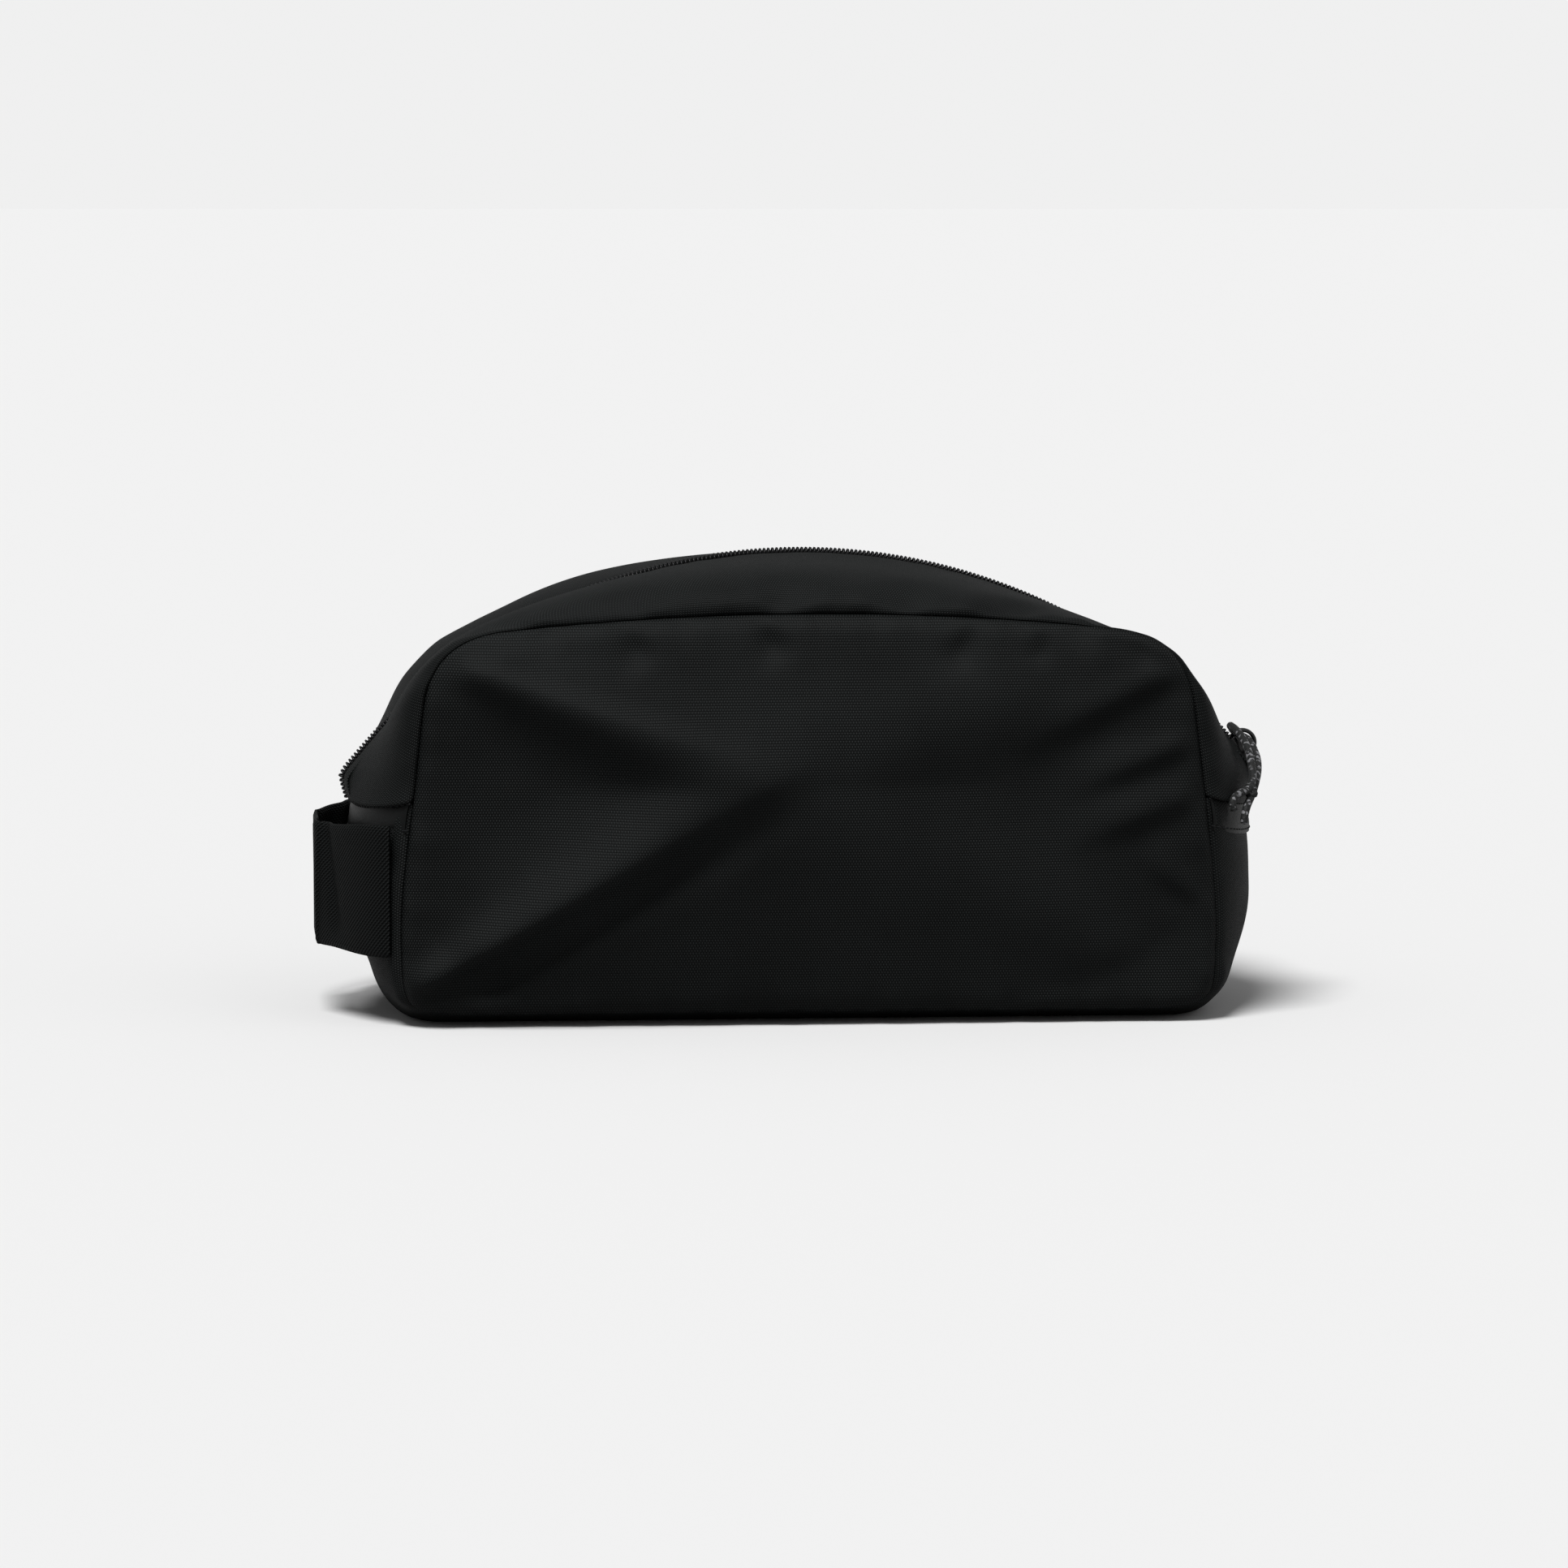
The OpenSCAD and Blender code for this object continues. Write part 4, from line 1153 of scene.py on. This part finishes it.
def makeZipSide(name, side):
    setup = zipSetup
    u = crownPlaces(110)
    track, out = zipLine(u), zipOut(u)
    rows = len(u)
    up, centre = lift(out, 0), lift(track, 0)
    y = np.array([setup["tapeGap"], *setup["tapeAt"]])
    # the tape dips under the folded edge of the strip and follows it outwards
    skin = stripPoints(u, 12)
    dip = np.zeros((rows, len(y)))
    for k, place in enumerate(y):
        if place > setup["strip"]:
            for i in range(rows):
                grid = skin[i][::-1]
                at = np.interp(place, -grid[:, 1], (grid[:, [0, 2]] - track[i]) @ out[i])
                dip[i, k] = min(at - setup["under"], setup["most"])
    cols = len(y)
    grids = []
    for more in (0, setup["tape"]):
        g = centre[:, None] + up[:, None] * (dip[:, :, None] - more)
        g[..., 1] = side * y[None, :]
        grids.append(g.reshape(-1, 3))
    uv = clothRuns(grids[0], rows, cols)
    tape = makeShell(name + "ZipTape", *grids, rows, cols, zipTapeCloth, "zip_tape", name + "_zip_tape", uv)
    openWith(tape)
    # turns of the coil, half a pitch along from those on the other side
    wide, high = setup["coilWide"], setup["coilHigh"]
    line = centre + up * (high / 2 + setup["yarn"] / mm + 0.02)
    line[:, 1] = side * (setup["teethFrom"] + wide / 2)
    if side > 0:
        run = runAlong(line)
        at = np.clip(run + setup["pitch"] / mm / 2, 0, run[-1])
        line = np.stack([np.interp(at, run, line[:, k]) for k in range(3)], axis=1)[:-1]
        up = up[:-1]
    coil = layRow(name + "ZipCoil", [line], [up], coilRow, nylonCoil, "zip_coil", Pitch=setup["pitch"],
                  Width=wide * mm, Height=high * mm, Yarn=setup["yarn"], Slant=0.12 * side, Loose=0.0, Seed=2)
    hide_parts(name + "_zip_coil")
    openWith(coil)


makeZipSide("front", -1)
makeZipSide("back", 1)
print("zip")

# folded tabs across the two ends of the zip

tabSetup = {"wide": 9.2, "thick": 1.0, "clear": 0.25, "roll": 0.35, "dent": 0.35, "stitchAt": (0.16, 0.84)}


def makeTab(name, side, node):
    setup = tabSetup
    perPlace = np.linalg.norm(bagLine(side * 2.6) - bagLine(side * 2.5)) / 0.1
    places = side * np.linspace(bagSetup["seamAt"] - setup["wide"] / perPlace, bagSetup["seamAt"] + 0.01, 9)
    rows, cols = len(places), 41
    v = np.linspace(0.012, 0.988, cols)
    points = gussetPoints(places, v)
    normal = gridNormals(points, rows, cols)
    uv = clothRuns(points, rows, cols)
    across = np.linspace(0, 1, rows).repeat(cols)
    roll = setup["roll"] * np.sqrt(np.clip(1 - (2 * across - 1) ** 6, 0, 1))
    ends = smooth(np.minimum(v, 1 - v) / 0.06)
    swell = 0.45 * np.sin(np.tile(v, rows) * 19 + 4 * across) * np.tile(ends, rows) * 0.4
    dent = setup["dent"] * sum(np.exp(-((across - at) / 0.07) ** 2) for at in setup["stitchAt"])
    outer = points + normal * (setup["clear"] + setup["thick"] * 0.75 + roll + swell - dent)[:, None]
    inner = points + normal * setup["clear"]
    piece = makeShell(name, outer, inner, rows, cols, smoothCloth, "smooth_cloth", node, uv, bevel=0.3)
    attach(piece, "base")
    grid, facing = outer.reshape(rows, cols, 3), normal.reshape(rows, cols, 3)
    lines, ups = [], []
    for row in (1, rows - 2):
        lines.append(grid[row] + facing[row] * 0.12)
        ups.append(facing[row])
    stitches = layRow(name + "Stitches", lines, ups, stitchRow, stitchThread, "smooth_cloth", Seed=9, **stitchSizes)
    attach(stitches, "base")


makeTab("leftEndTab", -1, "left_end_tab")
makeTab("rightEndTab", 1, "right_end_tab")
print("tabs")

# carry loop: webbing sewn into both seams of the left end

loopSetup = {"line": [(124.3, -49.8), (128.7, -49.5), (141.8, -31), (146.8, -13)], "thick": 1.7, "low": 21,
             "wide": 39, "sag": 2.2, "edge": 0.9,
             "creases": [{"at": -22, "low": 9, "high": 0, "wide": 3.0, "deep": -1.6, "from": 0.3},
                         {"at": 24, "low": 0, "high": 6, "wide": 3.5, "deep": -1.28, "from": 0},
                         {"at": -14, "low": 7, "high": 0, "wide": 4, "deep": 0.7, "from": 0}]}


def makeLoop(setup):
    t = np.linspace(0, 1, 60)[:, None]
    a, b, c, d = (np.array(q, float) for q in setup["line"])
    half = bezier(a, b, c, d, t)
    line = np.vstack([half, (half * np.array([1, -1]))[::-1]])
    line[:, 0] *= -1
    plan, _ = splineThrough([(x, y, 0) for x, y in line[::4]] + [tuple(line[-1]) + (0,)], 1.2)
    plan = plan[:, :2]
    rows = len(plan)
    way = unitRows(np.gradient(plan, axis=0))
    out = np.stack([way[:, 1], -way[:, 0]], axis=1)
    if (out * (plan - np.array([-100, 0]))).sum() < 0:
        out = -out
    cols = 27
    h = np.linspace(0, 1, cols)
    run = runAlong(plan)
    y = plan[:, 1][:, None]
    s = (run / run[-1])[:, None]
    # soft creases where the webbing turns, and a slanting one from the upper corner
    crease = np.zeros((rows, cols))
    for fold in setup["creases"]:
        aside = (y - fold["at"] + fold["low"] * (1 - h) - fold["high"] * h) / fold["wide"]
        start = smooth(h / fold["from"]) if fold["from"] else 1
        crease += fold["deep"] * np.exp(-aside ** 2) * start
    crease = crease * smooth(np.minimum(s, 1 - s) / 0.1)
    tilt = -setup["sag"] * smooth((0.5 - np.abs(s - 0.5)) / 0.35) * (h - 0.2)
    base = np.zeros((rows, cols, 3))
    base[..., 0] = plan[:, 0][:, None] + out[:, 0][:, None] * crease
    base[..., 1] = plan[:, 1][:, None] + out[:, 1][:, None] * crease
    base[..., 2] = setup["low"] + setup["wide"] * h[None, :] + tilt + 0.4 * np.sin(run / 6)[:, None] * (h - 0.5)
    thin = 0.45 + 0.55 * roundedEdge(np.minimum(h, 1 - h) * setup["wide"], setup["edge"])
    push = np.concatenate([out, np.zeros((rows, 1))], axis=1)[:, None]
    middle = base - push * setup["thick"] / 2
    wall = push * (setup["thick"] / 2 * thin)[None, :, None]
    uv = np.stack([np.repeat(run, cols), np.tile(h * setup["wide"], rows)], axis=1) * mm
    piece = makeShell("carryLoop", middle + wall, middle - wall, rows, cols, webbingTwill, "webbing",
                      "carry_handle", uv, bevel=0.2)
    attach(piece, "base")


makeLoop(loopSetup)
print("carry loop")

# zip slider: two plates, side walls, a post and the bridge that holds the cord

sliderSetup = {"at": (133.265, 75.632), "slope": 48.74, "long": 12, "wide": 8.8, "plate": 1.0, "top": 2.7,
               "under": -1.2, "bridgeX": -0.5, "bridgeRadius": 3.65, "bridgeWide": 3.2, "bridgeThick": 1.25,
               "bridgeSunk": 0.15, "wallX": (-4.1, 3.4), "wallIn": (0.9, 0.12), "wallFrom": 0.6, "wallInto": 0.3,
               "postX": (2.6, 4.6), "postHalf": 0.45, "postInto": 0.2, "lessUnder": 1}


def sliderPlan(long, wide, count=56):
    # a rounded nose at the closed end and a narrower tail
    t = np.linspace(0, 2 * math.pi, count, endpoint=False)
    y = np.sign(np.sin(t)) * np.abs(np.sin(t)) ** 0.65 * wide / 2
    x = np.sign(np.cos(t)) * np.abs(np.cos(t)) ** 0.62 * long / 2
    y = y * (1 - 0.14 * smooth(-x / long))
    return x, y


def sliderBlock(x, y, low, high):
    n = len(x)
    points = [(x[k], y[k], low) for k in range(n)] + [(x[k], y[k], high) for k in range(n)]
    faces = [tuple(range(n - 1, -1, -1)), tuple(range(n, 2 * n))]
    faces += [(k, (k + 1) % n, n + (k + 1) % n, n + k) for k in range(n)]
    return points, faces


def sliderBox(x0, x1, y0, y1, z0, z1):
    x, y = np.array([x0, x1, x1, x0]), np.array([y0, y0, y1, y1])
    return sliderBlock(x, y, z0, z1)


def atSlider(points, setup):
    slope = math.radians(setup["slope"])
    p = np.asarray(points, float)
    x = setup["at"][0] + p[:, 0] * math.cos(slope) + p[:, 2] * math.sin(slope)
    z = setup["at"][1] - p[:, 0] * math.sin(slope) + p[:, 2] * math.cos(slope)
    return np.stack([x, p[:, 1], z], axis=1)


def makeSlider(setup):
    blocks = []
    x, y = sliderPlan(setup["long"], setup["wide"])
    blocks.append(sliderBlock(x, y, setup["top"], setup["top"] + setup["plate"]))
    x, y = sliderPlan(setup["long"] - setup["lessUnder"], setup["wide"] - setup["lessUnder"])
    blocks.append(sliderBlock(x, y, setup["under"] - setup["plate"], setup["under"]))
    for side in (-1, 1):
        y0, y1 = sorted(side * (setup["wide"] / 2 - inset) for inset in setup["wallIn"])
        blocks.append(sliderBox(*setup["wallX"], y0, y1, setup["wallFrom"], setup["top"] + setup["wallInto"]))
    blocks.append(sliderBox(*setup["postX"], -setup["postHalf"], setup["postHalf"],
                            setup["under"] - setup["postInto"], setup["top"] + setup["postInto"]))
    points, faces = [], []
    for p, f in blocks:
        start = len(points)
        points += p
        faces += [tuple(start + k for k in face) for face in f]
    body = makePiece("sliderBody", atSlider(points, setup), faces, blackEnamel)
    recalcNormals(body)
    addModifier(body, "BEVEL", width=0.28 * mm, segments=3, limit_method="ANGLE", angle_limit=math.radians(40))
    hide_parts("slider_body")
    t = np.linspace(0, math.pi, 40)
    rows, ring = len(t), 16
    turn = np.arange(ring) * 2 * math.pi / ring
    points = []
    for a in t:
        flare = 1 + 0.18 * abs(math.cos(a)) ** 4
        wide, thick = setup["bridgeWide"] / 2 * flare, setup["bridgeThick"] / 2
        for b in turn:
            across = np.sign(math.cos(b)) * abs(math.cos(b)) ** 0.55 * wide
            radial = np.sign(math.sin(b)) * abs(math.sin(b)) ** 0.7 * thick
            r = setup["bridgeRadius"] + radial
            foot = setup["top"] + setup["plate"] - setup["bridgeSunk"]
            points.append((setup["bridgeX"] + r * math.cos(a), across, foot + r * math.sin(a)))
    faces = gridFaces(rows, ring, wrapCols=True)
    faces += [tuple(range(ring - 1, -1, -1)), tuple((rows - 1) * ring + k for k in range(ring))]
    bridge = makePiece("sliderBridge", atSlider(points, setup), faces, blackEnamel)
    recalcNormals(bridge)
    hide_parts("slider_bridge")
    for piece in (body, bridge):
        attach(piece, "slider")


makeSlider(sliderSetup)
print("slider")

# studio: plain pale floor and soft light

studioLook = {"floor": (0.87, 0.87, 0.87), "seen": 0.87, "bounce": (0.3, 0.3, 0.3), "room": 0.2, "reach": 60000,
              "key": {"from": (-0.25, -0.43, 1.0), "angle": 24, "power": 2.75},
              "fill": {"from": (0.8, -0.5, 0.6), "angle": 60, "power": 0.2}}


def makeStudio(look):
    scene.view_settings.view_transform = "Standard"
    floorMaterial, tree, shader, _ = startMaterial("paleFloor", Roughness=0.9, Specular_IOR_Level=0.0)
    # the floor sends less light back up at the bag than it shows to the camera
    looks = tree.nodes.new("ShaderNodeLightPath")
    tree.links.new(mixColours(tree, looks.outputs["Is Camera Ray"], look["bounce"], look["floor"]),
                   shader.inputs["Base Color"])
    far = look["reach"]
    points = [(-far, -far, 0), (far, -far, 0), (far, far, 0), (-far, far, 0)]
    floor = makePiece("floor", points, [(0, 1, 2, 3)], floorMaterial, shadeSmooth=False)
    world = bpy.data.worlds.new("softRoom")
    world.use_nodes = True
    tree = world.node_tree
    room = tree.nodes["Background"]
    room.inputs["Strength"].default_value = look["room"]
    seen = tree.nodes.new("ShaderNodeBackground")
    seen.inputs["Strength"].default_value = look["seen"]
    for node in (room, seen):
        node.inputs["Color"].default_value = (1, 1, 1, 1)
    rays = tree.nodes.new("ShaderNodeLightPath")
    both = tree.nodes.new("ShaderNodeMixShader")
    tree.links.new(rays.outputs["Is Camera Ray"], both.inputs[0])
    tree.links.new(room.outputs[0], both.inputs[1])
    tree.links.new(seen.outputs[0], both.inputs[2])
    tree.links.new(both.outputs[0], tree.nodes["World Output"].inputs["Surface"])
    scene.world = world
    for key in ("key", "fill"):
        data = bpy.data.lights.new(key + "Light", "SUN")
        data.angle = math.radians(look[key]["angle"])
        data.energy = look[key]["power"]
        lamp = bpy.data.objects.new(key + "Light", data)
        scene.collection.objects.link(lamp)
        lamp.rotation_euler = (-Vector(look[key]["from"])).to_track_quat("-Z", "Y").to_euler()


makeStudio(studioLook)
print("studio")
